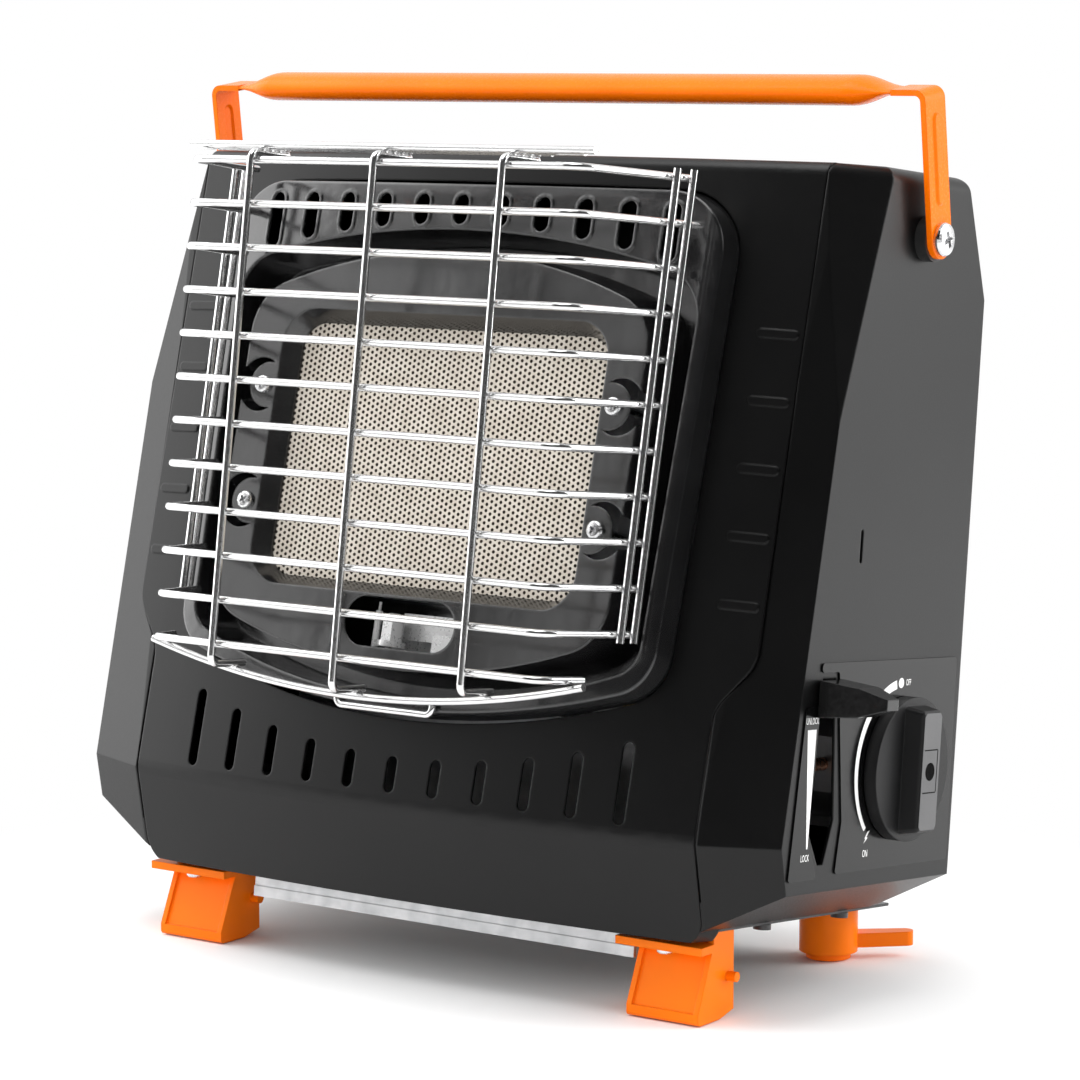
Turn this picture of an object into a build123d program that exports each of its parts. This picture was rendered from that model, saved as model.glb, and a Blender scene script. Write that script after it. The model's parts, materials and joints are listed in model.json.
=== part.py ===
"""Portable radiant gas heater that burns a butane cartridge lying in its back.

Lengths are in millimetres and angles in degrees. The casing is drawn upright in a body frame, with x to
the right, y to the back and z up from the cheeks' lower edge, and is then tilted back as one. Feet are
drawn level.
"""
from build123d import *
import os
from math import cos, radians, sin, sqrt, tan

# Casing
BODY_WIDTH = 290.0
BODY_TOP = 250.0
BODY_BACK = 109.5
BODY_TILT = 6.0
FACE_LEAN = 8.8
BOW_RADIUS = 830.0
KNEE_HEIGHT = 28.6
KNEE_REACH = 17.4
PANEL_DROP = 4.0
PANEL_DROP_REACH = 8.0
SHEET = 0.8
CHEEK_WALL = 1.0
SEAM_GAP = 0.3
TOP_ROUND = 5.0
OVERRUN = 40.0
BOW_LENGTH = 750.0
FRONT_LIMIT = -2 * KNEE_REACH
BACK_LIMIT = 2 * BODY_BACK

# Cheek bevels: front edge of the flat side, as points (y, z) from bottom to top, and the bevels below
# and at the back
SIDE_LOW_Y = 0.0
SIDE_LOW_Z = 30.0
SIDE_MID_Y = 19.0
SIDE_MID_Z = 165.0
SIDE_TOP_Y = 45.0
BEVEL_RISE = 14.7
BEVEL_WIDTH = 28.0
BACK_SLOPE_TOP_Y = 93.5
BACK_SLOPE_Z = 210.0
CHEEK_FLANGE_HALF = 112.0
CHEEK_FLANGE_RISE = 10.0
SIDE_SLIT_Y = 38.0
SIDE_SLIT_Z = 126.5
SIDE_SLIT_TALL = 11.0
SIDE_SLIT_WIDTH = 1.6

# Front panel, in its own leaning plane: x and height above the knee
PANEL_HALF = 130.0
PANEL_LOW_HALF = 117.5
PANEL_DEPTH = 22.0
PANEL_LOW_DEEPER = 10.0
PANEL_LOW_TOP = 12.0
PANEL_CORNER = 9.0
KINK_LOW = 45.0
KINK_HIGH = 61.0
KINK_ROUND = 14.0
OPEN_TOP_HALF = 104.5
OPEN_LOW_HALF = 101.0
OPEN_TOP = 214.0
OPEN_SIDE_LOW = 48.0
OPEN_ARCH = 29.3
OPEN_TOP_ROUND = 23.0
OPEN_LOW_ROUND = 18.0
KNEE_ROUND = 12.0
SLOT_COUNT = 11
SLOT_PITCH = 18.0
SLOT_WIDTH = 4.2
SLOT_FOOT = 4.5
SLOT_MARGIN = 12.5
RIB_COUNT = 5
RIB_FIRST = 79.3
RIB_PITCH = 22.2
RIB_MIDDLE = 121.0
RIB_LENGTH = 14.5
RIB_WIDTH = 3.0
RIB_RAISE = 0.5

# Reflector tray: a bowed band proud of the panel, pierced by vents above its arched mouth
TRAY_CROWN = 8.0
TRAY_TUCK = 2.0
TRAY_SKIRT = 2.4
TRAY_BEAD = 4.0
TRAY_BEAD_ROUND = 0.7
TRAY_FLOOR_DEPTH = 15.0
TRAY_SHEET = 0.8
TRAY_GAP = 0.3
MOUTH_BELOW_TOP = 18.5
MOUTH_SAG = 13.2
MOUTH_TOP_ROUND = 18.0
VENT_COUNT = 11
VENT_PITCH = 16.6
VENT_WIDTH = 5.8
VENT_BELOW_TOP = 6.4
VENT_CLEAR = 1.8
VENT_LIP = 1.0
VENT_LIP_RAISE = 0.5

# Burner
BURNER_HEIGHT = 118.2
PLATE_WIDTH = 132.0
PLATE_HEIGHT = 92.0
PLATE_THICK = 13.0
PLATE_FRONT = 0.5
PLATE_LAP = 1.8
PLATE_GAP = 0.3
PLATE_ROUND = 9.0
FRAME_CROWN = 8.0
FRAME_ASIDE = 20.0
FRAME_ABOVE = 26.8
FRAME_SAG = 19.0
FRAME_BELOW = 10.1
FRAME_LOW_SAG = 18.0
FRAME_ROUND = 22.0
FRAME_DRAW = 3.0
FRAME_LIP = 4.0
FRAME_SEAT = 0.2
WINDOW_DROP = 10.3
WINDOW_LENGTH = 46.0
WINDOW_WIDTH = 17.0
BOX_SLACK = 0.3
BOX_LEDGE = 3.0
BOX_DEPTH = 20.0
BOX_FLANGE = 11.5
BOX_FLANGE_GAP = 0.4
BOX_WALL = 1.0
SCREW_ASIDE = 7.6
SCREW_RISE = 20.4
SCREW_HEAD_R = 3.1
SCREW_HEAD_H = 2.0
SCREW_SHANK_R = 1.5
SCREW_SLACK = 0.1
CRESCENT_R = 9.5
CRESCENT_SHIFT = 3.5
CRESCENT_BOSS_R = 8.0

# Places that follow from the burner plate, as heights and half widths in the front plane
BURNER_LOW = BURNER_HEIGHT - PLATE_HEIGHT / 2 - BOX_SLACK - BOX_WALL
WINDOW_HEIGHT = BURNER_LOW - WINDOW_DROP
SCREW_X = PLATE_WIDTH / 2 + SCREW_ASIDE
FRAME_HALF = PLATE_WIDTH / 2 + FRAME_ASIDE
FRAME_ARCH = BURNER_HEIGHT + PLATE_HEIGHT / 2 + FRAME_ABOVE
FRAME_SHOULDER = FRAME_ARCH - FRAME_SAG
FRAME_LOW_ARCH = WINDOW_HEIGHT - WINDOW_WIDTH / 2 - FRAME_BELOW
FRAME_LOW = FRAME_LOW_ARCH + FRAME_LOW_SAG

# Reflector floor: margins round the burner frame
FLOOR_MARGIN_TOP = 3.0
FLOOR_MARGIN_SIDE = 7.0
FLOOR_MARGIN_LOW_SIDE = 4.0
FLOOR_MARGIN_CORNER = 4.0
FLOOR_MARGIN_ARCH = 4.5
FLOOR_SAG = 13.0
FLOOR_TOP_ROUND = 16.0
FLOOR_LOW_ROUND = 10.0

# Pilot group, behind the burner frame's window
PILOT_SHEET = 1.0
PILOT_SHELF_HALF = 17.0
PILOT_SHELF_BELOW = 12.6
PILOT_SHELF_FRONT = -2.0
PILOT_BACK_RISE = 14.0
PILOT_PLATE_DEPTH = 6.5
PILOT_PLATE_LEFT = -9.0
PILOT_PLATE_RIGHT = 22.0
PILOT_PLATE_BELOW = 4.1
PILOT_PLATE_ABOVE = 4.9
PILOT_LIP = 2.5
PILOT_SLIT_LEFT = -5.0
PILOT_SLIT_RIGHT = 9.0
PILOT_SLIT_DROP = 2.4
PILOT_SLIT_TALL = 0.9
PILOT_TAB_LEFT = 6.7
PILOT_TAB_RIGHT = 17.0
PILOT_TAB_BELOW = 9.9
PILOT_TAB_ABOVE = -1.6
PILOT_TAB_OUT = 3.5
PILOT_DEPTH = 0.5
PILOT_BURNER_X = -8.4
PILOT_STEM_R = 2.0
PILOT_STEM_TALL = 5.0
PILOT_COLLAR_R = 4.9
PILOT_COLLAR_TALL = 2.0
PILOT_BODY_R = 4.0
PILOT_BODY_SIDES = 6
PILOT_BODY_TALL = 6.4
PILOT_NECK_R = 2.9
PILOT_NECK_TALL = 3.2
ELECTRODE_X = -15.2
ELECTRODE_R = 1.2
ELECTRODE_TALL = 17.0
ELECTRODE_TIP_R = 0.5
ELECTRODE_TIP_TALL = 3.0
THERMO_X = 14.0
THERMO_DEPTH = 11.0
THERMO_R = 1.6
THERMO_TALL = 20.0

# Gas path
TUBE_R = 8.0
TUBE_WALL = 1.0
TUBE_DEPTH = 27.0
TUBE_HEIGHT = 46.0
TUBE_END_X = 76.0
TUBE_BEND = 16.0
INJECTOR_R = 5.0
INJECTOR_LENGTH = 12.0
INJECTOR_COLLAR_R = 8.0
INJECTOR_COLLAR = 3.0
PIPE_R = 2.2
PIPE_BEND = 6.6

# Regulator, control knob and lock lever on the right cheek
KNOB_Y = 71.3
KNOB_Z = 52.8
KNOB_R = 24.0
KNOB_DISC = 4.5
KNOB_GAP = 0.4
KNOB_BAR_LENGTH = 40.0
KNOB_BAR_WIDTH = 12.0
KNOB_BAR_HEIGHT = 6.7
KNOB_BAR_TAPER = 1.2
KNOB_ROUND = 1.5
SHAFT_R = 3.0
SHAFT_FIT = 0.05
SHAFT_IN_VALVE = 8.0
SHAFT_IN_KNOB = 9.0
VALVE_R = 19.0
VALVE_FLAT = 2.4
VALVE_LENGTH = 36.0
VALVE_GAP = 0.4
ARM_DEPTH = 14.0
ARM_LOW = 15.0
ARM_HIGH = 12.0
SOCKET_R = 13.0
SOCKET_LENGTH = 9.0
SOCKET_BORE_R = 7.5
IGNITER_WIDTH = 18.0
IGNITER_TALL = 16.0
IGNITER_LENGTH = 28.0
IGNITER_ROUND = 2.2
PLATE_SKIN = 0.6
PLATE_CORNER = 1.2
LEVER_GAP = 0.4
LEVER_TALL = 12.0
LEVER_SHOE_ASIDE = 4.0
LEVER_SHOE_DEPTH = 6.0
LEVER_REACH = 23.0
LEVER_WAIST_SHARE = 0.6
LEVER_ROOT_WIDTH = 15.0
LEVER_WAIST_WIDTH = 13.0
LEVER_WAIST_TALL = 9.5
LEVER_TIP_WIDTH = 7.0
LEVER_TIP_TALL = 3.5

# Outlines on the right cheek as points (y, z): the lever's gate, the control plate and the lock plate
GATE_TOP = 84.0
GATE_FRONT = 19.0
GATE_BACK = 27.0
GATE_OUTLINE = (
    (GATE_FRONT, GATE_TOP), (GATE_BACK, GATE_TOP), (31.0, 38.0), (26.0, 23.5), (22.5, 23.5), (15.6, 35.0)
)
CONTROL_OUTLINE = (
    (17.6, 89.0), (105.5, 89.0), (107.0, 20.0), (33.0, 20.0),
    (35.4, 37.0), (30.5, 69.0), (28.4, 86.0), (17.6, 86.0)
)
LOCK_OUTLINE = (
    (4.2, 19.1), (21.3, 19.1), (20.6, 22.0), (14.4, 34.2), (16.4, 53.0), (17.6, 75.0), (9.4, 75.0)
)

# Cartridge, its cradle and heat shield
CARTRIDGE_Y = 95.0
CARTRIDGE_Z = 45.0
CARTRIDGE_R = 33.5
CARTRIDGE_LENGTH = 178.0
CARTRIDGE_RIM_R = 34.0
CARTRIDGE_RIM = 4.0
CARTRIDGE_SHOULDER = 12.0
CARTRIDGE_COLLAR_R = 14.0
CARTRIDGE_COLLAR = 4.0
CARTRIDGE_NOZZLE_R = 3.5
CARTRIDGE_NOZZLE = 9.0
CARTRIDGE_PUSH = 4.0
CARTRIDGE_GAP = 1.0
CARTRIDGE_WALL = 1.0
CARTRIDGE_BORE_R = 1.5
CRADLE_LENGTH = 110.0
CRADLE_WIDTH = 28.0
CRADLE_TALL = 16.0
CRADLE_GAP = 0.3
SHIELD_Y = 52.0
SHIELD_HALF = 95.0
SHIELD_TALL = 190.0
SHIELD_FOOT = 12.0

# Rear cover and cartridge door
DOOR_TOP = 101.0
DOOR_LOW = 2.0
DOOR_HALF = 118.0
DOOR_BULGE = 27.0
DOOR_ROUND = 10.0
DOOR_GAP = 2.0
HINGE_R = 3.6
HINGE_PIN_R = 1.5
HINGE_FIT = 0.05
HINGE_OUT = 4.0
HINGE_RISE = 4.0
HINGE_KNUCKLE = 26.0
HINGE_SPREAD = 78.0
HINGE_GAP = 0.4
LOUVRE_ROWS = 2
LOUVRE_COUNT = 9
LOUVRE_PITCH_X = 22.0
LOUVRE_PITCH_Z = 34.0
LOUVRE_FIRST_Z = 136.0
LOUVRE_TALL = 24.0
LOUVRE_WIDTH = 5.0

# Base plate and feet, level with the floor
BASE_HALF = 116.0
BASE_FRONT_Y = 10.6
BASE_BACK_Y = 122.0
BASE_SHEET = 1.0
RAIL_Y = 13.5
RAIL_TALL = 14.0
RAIL_LEFT_X = 79.0
RAIL_RIGHT_X = 83.0
RAIL_HEM_TALL = 3.6
RAIL_HEM_OUT = 0.5
FLOOR_DROP = 32.2
FOOT_SPACING = 201.0
FOOT_WIDTH = 28.0
FOOT_FRONT_Y = 2.2
FOOT_BACK_Y = 23.5
FOOT_TOP_Y = 11.5
FOOT_LIP = 3.9
FOOT_LIP_ROUND = 1.5
FOOT_HEEL_Y = 15.0
FOOT_HEEL_RISE = 2.0
FOOT_CHEEK = 2.0
FOOT_RECESS = 1.0
FOOT_FLANGE_DROP = 6.6
FOOT_FLANGE_THICK = 2.7
FOOT_FLANGE_FRONT = 4.2
FOOT_TAB = 5.8
FOOT_TAB_BACK_Y = 11.0
FOOT_PEG_R = 1.7
FOOT_PEG = 3.5
FOOT_PEG_RISE = 13.6
FOOT_SCREW_X = -2.0
FOOT_SCREW_Y = 7.3
FOOT_SCREW_R = 3.0
FOOT_SCREW_HEAD = 1.6
FOOT_SCREW_SHANK_R = 1.6
TWIST_X = 98.0
TWIST_Y = 111.0
TWIST_R = 10.2
TWIST_PAD_R = 7.8
TWIST_PAD = 2.4
TWIST_GAP = 0.4
TWIST_STUD_R = 4.0
TWIST_BORE_DEPTH = 9.0
TWIST_LEVER = 30.0
TWIST_LEVER_WIDTH = 8.0
TWIST_LEVER_TIP_R = 3.0
TWIST_LEVER_THICK = 5.0
TWIST_LEVER_LIFT = 3.6
TWIST_ANGLE = 42.0

# Handle
HANDLE_THICK = 2.0
HANDLE_STRAP = 13.0
HANDLE_Y = 67.0
HANDLE_Z = 228.0
HANDLE_RISE = 50.0
HANDLE_BEND = 4.0
HANDLE_LEAN = 13.0
HANDLE_STANDOFF = 4.0
LEG_RIB_LOW = 11.0
LEG_RIB_HIGH = 42.0
LEG_RIB_WIDTH = 5.0
LEG_RIB_RAISE = 0.8
GRIP_HALF = 121.0
GRIP_TAPER = 17.0
GRIP_TAPER_SHARES = (0.0, 0.3, 0.65, 1.0)
GRIP_NARROW_SHARES = (0.0, 0.16, 0.68, 1.0)
GRIP_WIDTH = 21.0
GRIP_TALL = 10.0
GRIP_WALL = 1.6
GRIP_SLIT = 3.0
PIVOT_R = 3.0
PIVOT_FIT = 0.05
PIVOT_HEAD_R = 5.6
PIVOT_HEAD = 2.6
PIVOT_NUT = 4.0
WASHER_R = 7.5

# Wire guard
WIRE_R = 1.3
WIRE_GAP = 0.05
GUARD_HALF = 80.0
GUARD_TOP_Z = 242.0
GUARD_TOP_Y = -41.6
GUARD_LOW_Y = -47.3
GUARD_WIRES = 12
GUARD_PITCH = 14.8
GUARD_BEND = 7.0
GUARD_END_X = 91.5
GUARD_END_OUT_TOP = 8.6
GUARD_END_OUT_LOW = 4.3
GUARD_TAIL = 10.0
GUARD_TAIL_INDEX = 1
GUARD_SHORT_SHARE = 0.5
GUARD_UPRIGHT_X = 52.0
GUARD_SIDE_SHARES = (0.80, 0.95)
GUARD_HOOK = 19.0
GUARD_FOOT = 17.0
GUARD_HOOK_BEND = 2.7
GUARD_SIDE_SLACK = 0.3
GUARD_TOP_PITCH = 4.4
GUARD_TOP_LEFTS = (-83.0, -80.0, -85.0, -82.0)
GUARD_TOP_RIGHTS = (84.0, 66.0, 74.0, 58.0)
GUARD_ARCH_Z = 66.0
GUARD_ARCH_SAG = 11.5
GUARD_ARCH_HALF = 90.0
CLIP_HALF = 20.0
CLIP_R = 1.2
CLIP_LEG = 5.0
CLIP_HEIGHT = 31.5

# Small fixings and switches
CASE_SCREW_X = 114.0
CASE_SCREW_YS = (42.0, 92.0)
CASE_SCREW_R = 3.0
CASE_SCREW_HEAD = 1.8
CASE_SCREW_SHANK_R = 1.5
TIP_X = -86.0
TIP_Y = 26.0
TIP_SIZE = 22.0
TIP_TALL = 30.0
TIP_ROUND = 2.8

# The leaning front plane, drawn at the knee, and the tilt of the whole casing
FACE = Plane(
    origin=(0, -KNEE_REACH, KNEE_HEIGHT),
    x_dir=(1, 0, 0),
    z_dir=(0, -cos(radians(FACE_LEAN)), sin(radians(FACE_LEAN))),
)
TILT = Rot(-BODY_TILT, 0, 0)
SIDE = BODY_WIDTH / 2
BASE_UNDER = Plane(
    origin=(TILT * Pos(0, 0, -BASE_SHEET)).position,
    z_dir=(0, sin(radians(BODY_TILT)), cos(radians(BODY_TILT))),
)


# Helpers

def span(x0, x1, y0, y1, z0, z1):
    """A box between two corners."""
    return Pos((x0 + x1) / 2, (y0 + y1) / 2, (z0 + z1) / 2) * Box(x1 - x0, y1 - y0, z1 - z0)


def rod_x(radius, x0, x1, y, z):
    """A rod along x."""
    return Pos((x0 + x1) / 2, y, z) * Rot(0, 90, 0) * Cylinder(radius, x1 - x0)


def rod_z(radius, x, y, z0, z1):
    """A rod along z."""
    return Pos(x, y, (z0 + z1) / 2) * Cylinder(radius, z1 - z0)


def face_box(x0, x1, low, high, near, far):
    """A box in the front plane's frame, between two depths behind it."""
    return FACE * span(x0, x1, low, high, -far, -near)


def face_rod(radius, x, height, near, far):
    """A rod square to the front plane, between two depths behind it."""
    return FACE * rod_z(radius, x, height, -far, -near)


def face_stem(radius, x, depth, low, high):
    """A rod that stands along the front plane."""
    rod = Pos(x, (low + high) / 2, -depth) * Rot(90, 0, 0) * Cylinder(radius, high - low)
    return FACE * rod


def face_prism(outline, near, far):
    """An outline in the front plane, run between two depths behind it."""
    return extrude(FACE.offset(-near) * outline, near - far)


def front_y(z, x=0):
    """Where the bowed front lies at a height and a distance from the middle."""
    rise = (z - KNEE_HEIGHT) * tan(radians(FACE_LEAN))
    return rise - KNEE_REACH + x * x / (2 * BOW_RADIUS) / cos(radians(FACE_LEAN))


def trim(solid, origin, normal, inset):
    """The part of a solid that lies behind a plane moved in by an inset."""
    return split(solid, bisect_by=Plane(origin=origin, z_dir=normal).offset(-inset), keep=Keep.BOTTOM)


def both_sides(shape):
    """A shape and its mirror image, as separate solids."""
    return [shape, mirror(shape, about=Plane.YZ)]


def grown(face, amount):
    """A sketch moved out or in by an amount."""
    return offset(face, amount) if amount else face


def wire(*points, bend):
    """A bent round wire through points."""
    path = FilletPolyline(*points, radius=bend)
    return sweep(Plane(origin=path @ 0, z_dir=path % 0) * Circle(WIRE_R), path=path)


def straight_wire(start, end, radius=WIRE_R):
    """A straight round wire between two points."""
    line = Line(start, end)
    return extrude(Plane(origin=start, z_dir=line % 0) * Circle(radius), line.length)


# Casing shells

def bow(inset):
    """The large cylinder whose skin is the bowed front."""
    axis = Plane(
        origin=FACE.from_local_coords((0, 0, -BOW_RADIUS)),
        x_dir=FACE.x_dir,
        z_dir=FACE.y_dir,
    )
    return axis * Cylinder(BOW_RADIUS - inset, BOW_LENGTH)


def under_bow(inset):
    """The large cylinder whose skin is the bowed slope below the knee."""
    knee = Vector(0, -KNEE_REACH, KNEE_HEIGHT)
    foot = Vector(0, -PANEL_DROP_REACH, -PANEL_DROP)
    axis = Plane(origin=knee - under_normal().normalized() * BOW_RADIUS, x_dir=(1, 0, 0), z_dir=knee - foot)
    return axis * Cylinder(BOW_RADIUS - inset, BOW_LENGTH)


def under_normal():
    """Outward direction of the panel's lower slope."""
    return Vector(0, -(KNEE_HEIGHT + PANEL_DROP), -(KNEE_REACH - PANEL_DROP_REACH))


def outward(first, second, third):
    """Normal of the plane through three points, turned to the right and front."""
    a, b, c = Vector(*first), Vector(*second), Vector(*third)
    normal = (b - a).cross(c - a).normalized()
    return normal if normal.X > 0 else -normal


def bevel_planes():
    """The right cheek's bevel planes as pairs of a point and an outward normal."""
    low = (SIDE, SIDE_LOW_Y, SIDE_LOW_Z)
    mid = (SIDE, SIDE_MID_Y, SIDE_MID_Z)
    top = (SIDE, SIDE_TOP_Y, BODY_TOP)
    seam_low = (PANEL_LOW_HALF, front_y(SIDE_LOW_Z, PANEL_LOW_HALF), SIDE_LOW_Z)
    seam_top = (PANEL_HALF, front_y(BODY_TOP, PANEL_HALF), BODY_TOP)
    knee_y = front_y(KNEE_HEIGHT, PANEL_LOW_HALF)
    seam_knee = (PANEL_LOW_HALF, knee_y, KNEE_HEIGHT)
    seam_foot = (PANEL_LOW_HALF, knee_y + KNEE_REACH - PANEL_DROP_REACH, -PANEL_DROP)
    return [
        (low, outward(low, seam_knee, seam_foot)),
        (low, outward(low, mid, seam_low)),
        (mid, outward(mid, top, seam_top)),
        ((SIDE, 0, BEVEL_RISE), Vector(BEVEL_RISE, 0, -BEVEL_WIDTH)),
    ]


def envelope(inset):
    """The casing's outer form with every face moved in by an inset."""
    form = span(-SIDE + inset, SIDE - inset, FRONT_LIMIT, BODY_BACK - inset, inset, BODY_TOP - inset)
    form = form & bow(inset) & under_bow(inset)
    slope = Vector(0, BODY_TOP - BACK_SLOPE_Z, BODY_BACK - BACK_SLOPE_TOP_Y)
    form = trim(form, (0, BODY_BACK, BACK_SLOPE_Z), slope, inset)
    for point, normal in bevel_planes():
        form = trim(form, point, normal, inset)
        form = trim(form, (-point[0], point[1], point[2]), (-normal.X, normal.Y, normal.Z), inset)
    rim = [e for e in form.edges() if abs(e.center().Z - BODY_TOP + inset) < SEAM_GAP]
    return fillet(rim, TOP_ROUND - inset)


def panel_outline():
    """The front panel's outline in its plane, wide above and narrow below an S-shaped kink."""
    foot = FACE.to_local_coords(Vector(0, -PANEL_DROP_REACH, -PANEL_DROP)).Y
    right = [(PANEL_LOW_HALF, foot), (PANEL_LOW_HALF, KINK_LOW)]
    right += [(PANEL_HALF, KINK_HIGH), (PANEL_HALF, BODY_TOP)]
    left = [(-x, height) for x, height in reversed(right)]
    face = make_face(Polyline(*right, *left, close=True))
    kinks = [v for v in face.vertices() if KINK_LOW <= v.Y <= KINK_HIGH]
    face = fillet(kinks, KINK_ROUND)
    return fillet(face.vertices().group_by(Axis.Y)[0], PANEL_CORNER)


def soften(block, inset):
    """The same block with its front top edge and its knee rounded."""
    for level, radius in ((BODY_TOP - inset, TOP_ROUND), (KNEE_HEIGHT, KNEE_ROUND)):
        edges = [e for e in block.edges() if e.length > PANEL_HALF]
        edges = [e for e in edges if abs(e.center().Z - level) < TOP_ROUND]
        front = min(edges, key=lambda e: e.center().Y)
        block = fillet(front, radius - inset)
    return block


def panel_block(inset, depth):
    """The front panel's sharp-edged form as a block, with every face but the back moved in by an inset."""
    outline = grown(panel_outline(), -inset)
    deep = face_prism(outline, -OVERRUN, depth + PANEL_LOW_DEEPER)
    block = face_prism(outline, -OVERRUN, depth) + trim(deep, (0, 0, PANEL_LOW_TOP), (0, 0, 1), 0)
    block = block & bow(inset) & under_bow(inset)
    block = trim(block, (0, 0, -PANEL_DROP), (0, 0, -1), inset)
    return trim(block, (0, 0, BODY_TOP), (0, 0, 1), inset)


def arched_outline(top_half, low_half, top, sag, side_low, arch, top_round, low_round):
    """An outline in the front plane: round corners, a straight or bowed top and an arched lower edge."""
    top_left, top_right = (-top_half, top - sag), (top_half, top - sag)
    low_left, low_right = (-low_half, side_low), (low_half, side_low)
    edges = [
        ThreePointArc(top_left, (0, top), top_right) if sag else Line(top_left, top_right),
        Line(top_right, low_right),
        ThreePointArc(low_right, (0, arch), low_left),
        Line(low_left, top_left),
    ]
    face = make_face(edges)
    middle = (top + side_low) / 2
    face = fillet([v for v in face.vertices() if v.Y > middle], top_round)
    low = [v for v in face.vertices() if abs(v.Y - side_low) < SHEET]
    return fillet(low, low_round)


def opening_outline(grow):
    """The front opening's outline, moved out or in."""
    face = arched_outline(
        OPEN_TOP_HALF, OPEN_LOW_HALF, OPEN_TOP, 0, OPEN_SIDE_LOW, OPEN_ARCH, OPEN_TOP_ROUND, OPEN_LOW_ROUND
    )
    return grown(face, grow)


def mouth_outline(grow):
    """The tray's mouth, arched below the vents, moved out or in."""
    rim = TRAY_GAP + TRAY_SKIRT + TRAY_BEAD
    face = arched_outline(
        OPEN_TOP_HALF - rim, OPEN_LOW_HALF - rim, OPEN_TOP - MOUTH_BELOW_TOP, MOUTH_SAG,
        OPEN_SIDE_LOW + rim, OPEN_ARCH + rim, MOUTH_TOP_ROUND, OPEN_LOW_ROUND - rim
    )
    return grown(face, grow)


def mouth_arch(x):
    """Height of the mouth's arched top."""
    half = OPEN_TOP_HALF - TRAY_GAP - TRAY_SKIRT - TRAY_BEAD
    radius = (half**2 + MOUTH_SAG**2) / (2 * MOUTH_SAG)
    return OPEN_TOP - MOUTH_BELOW_TOP - radius + sqrt(radius**2 - x * x)


def floor_outline(grow):
    """The reflector floor's outline round the burner frame, moved out or in."""
    top_half, low_half = FRAME_HALF + FLOOR_MARGIN_SIDE, FRAME_HALF + FLOOR_MARGIN_LOW_SIDE
    side_low, arch = FRAME_LOW - FLOOR_MARGIN_CORNER, FRAME_LOW_ARCH - FLOOR_MARGIN_ARCH
    face = arched_outline(
        top_half, low_half, FRAME_ARCH + FLOOR_MARGIN_TOP, FLOOR_SAG, side_low, arch,
        FLOOR_TOP_ROUND, FLOOR_LOW_ROUND
    )
    return grown(face, grow)


def opening_arch(x):
    """Height of the opening's arched lower edge."""
    sag = OPEN_SIDE_LOW - OPEN_ARCH
    radius = (OPEN_LOW_HALF**2 + sag**2) / (2 * sag)
    return OPEN_ARCH + radius - sqrt(radius**2 - x * x)


def panel_slot(index):
    """One cooling slot, whose top follows the arched opening."""
    x = (index - (SLOT_COUNT - 1) / 2) * SLOT_PITCH
    length = opening_arch(x) - SLOT_MARGIN - SLOT_FOOT
    shape = Pos(x, SLOT_FOOT + length / 2) * Rot(0, 0, 90) * SlotOverall(length, SLOT_WIDTH)
    return face_prism(shape, -OVERRUN, PANEL_DEPTH)


def panel_ribs():
    """Low raised ribs on the bands beside the opening."""
    ribs = []
    for index in range(RIB_COUNT):
        height = RIB_FIRST + index * RIB_PITCH
        bar = face_prism(Pos(RIB_MIDDLE, height) * SlotOverall(RIB_LENGTH, RIB_WIDTH), 0, PANEL_DEPTH)
        ribs += both_sides((bar & bow(-RIB_RAISE)) - bow(SHEET / 2))
    return ribs


def make_front_panel():
    panel = soften(panel_block(0, PANEL_DEPTH), 0) - soften(panel_block(SHEET, PANEL_DEPTH), SHEET)
    panel -= face_prism(opening_outline(0), -OVERRUN, PANEL_DEPTH)
    for index in range(SLOT_COUNT):
        panel -= panel_slot(index)
    for rib in panel_ribs():
        panel += rib
    return panel


def cheek_blank():
    """The right cheek before its own cut-outs."""
    shell = envelope(0) - envelope(CHEEK_WALL)
    shell -= panel_block(-SEAM_GAP, PANEL_DEPTH + SEAM_GAP)
    half = PANEL_HALF + SEAM_GAP
    behind = PANEL_DEPTH + SEAM_GAP
    upper = face_box(-half, half, -OVERRUN, BODY_TOP + OVERRUN, behind, BACK_LIMIT)
    sill = DOOR_TOP + DOOR_GAP - SEAM_GAP
    shell -= upper & span(-half, half, FRONT_LIMIT, BACK_LIMIT, sill, BODY_TOP + OVERRUN)
    side = DOOR_HALF + SEAM_GAP
    shell -= span(-side, side, FRONT_LIMIT, BACK_LIMIT, CHEEK_FLANGE_RISE, sill)
    flange = CHEEK_FLANGE_HALF
    shell -= span(-flange, flange, FRONT_LIMIT, BACK_LIMIT, 0, CHEEK_FLANGE_RISE)
    shell -= span(-side, side, BODY_BACK - 2 * CHEEK_WALL, BACK_LIMIT, 0, CHEEK_FLANGE_RISE)
    return shell & span(0, BODY_WIDTH, FRONT_LIMIT, BACK_LIMIT, -OVERRUN, BODY_TOP + OVERRUN)


def make_cheeks():
    blank = cheek_blank()
    blank -= rod_x(PIVOT_R + PIVOT_FIT, SIDE - OVERRUN, SIDE + OVERRUN, HANDLE_Y, HANDLE_Z)
    for screw in case_screw_shanks(SCREW_SLACK):
        blank -= screw
    left = mirror(blank, about=Plane.YZ)
    blank -= lever_gate()
    blank -= side_slit()
    blank -= rod_x(SHAFT_R + VALVE_GAP, SIDE - OVERRUN, SIDE + OVERRUN, KNOB_Y, KNOB_Z)
    return left, blank


def side_prism(outline, depth, out):
    """An outline of (y, z) points on the right cheek, run from a depth inside it to a distance outside."""
    return extrude(Plane.YZ.offset(SIDE - depth) * outline, depth + out)


def lever_gate():
    """The pointed slot that the lock lever slides in."""
    return side_prism(make_face(Polyline(*GATE_OUTLINE, close=True)), 2 * CHEEK_WALL, 2 * CHEEK_WALL)


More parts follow.
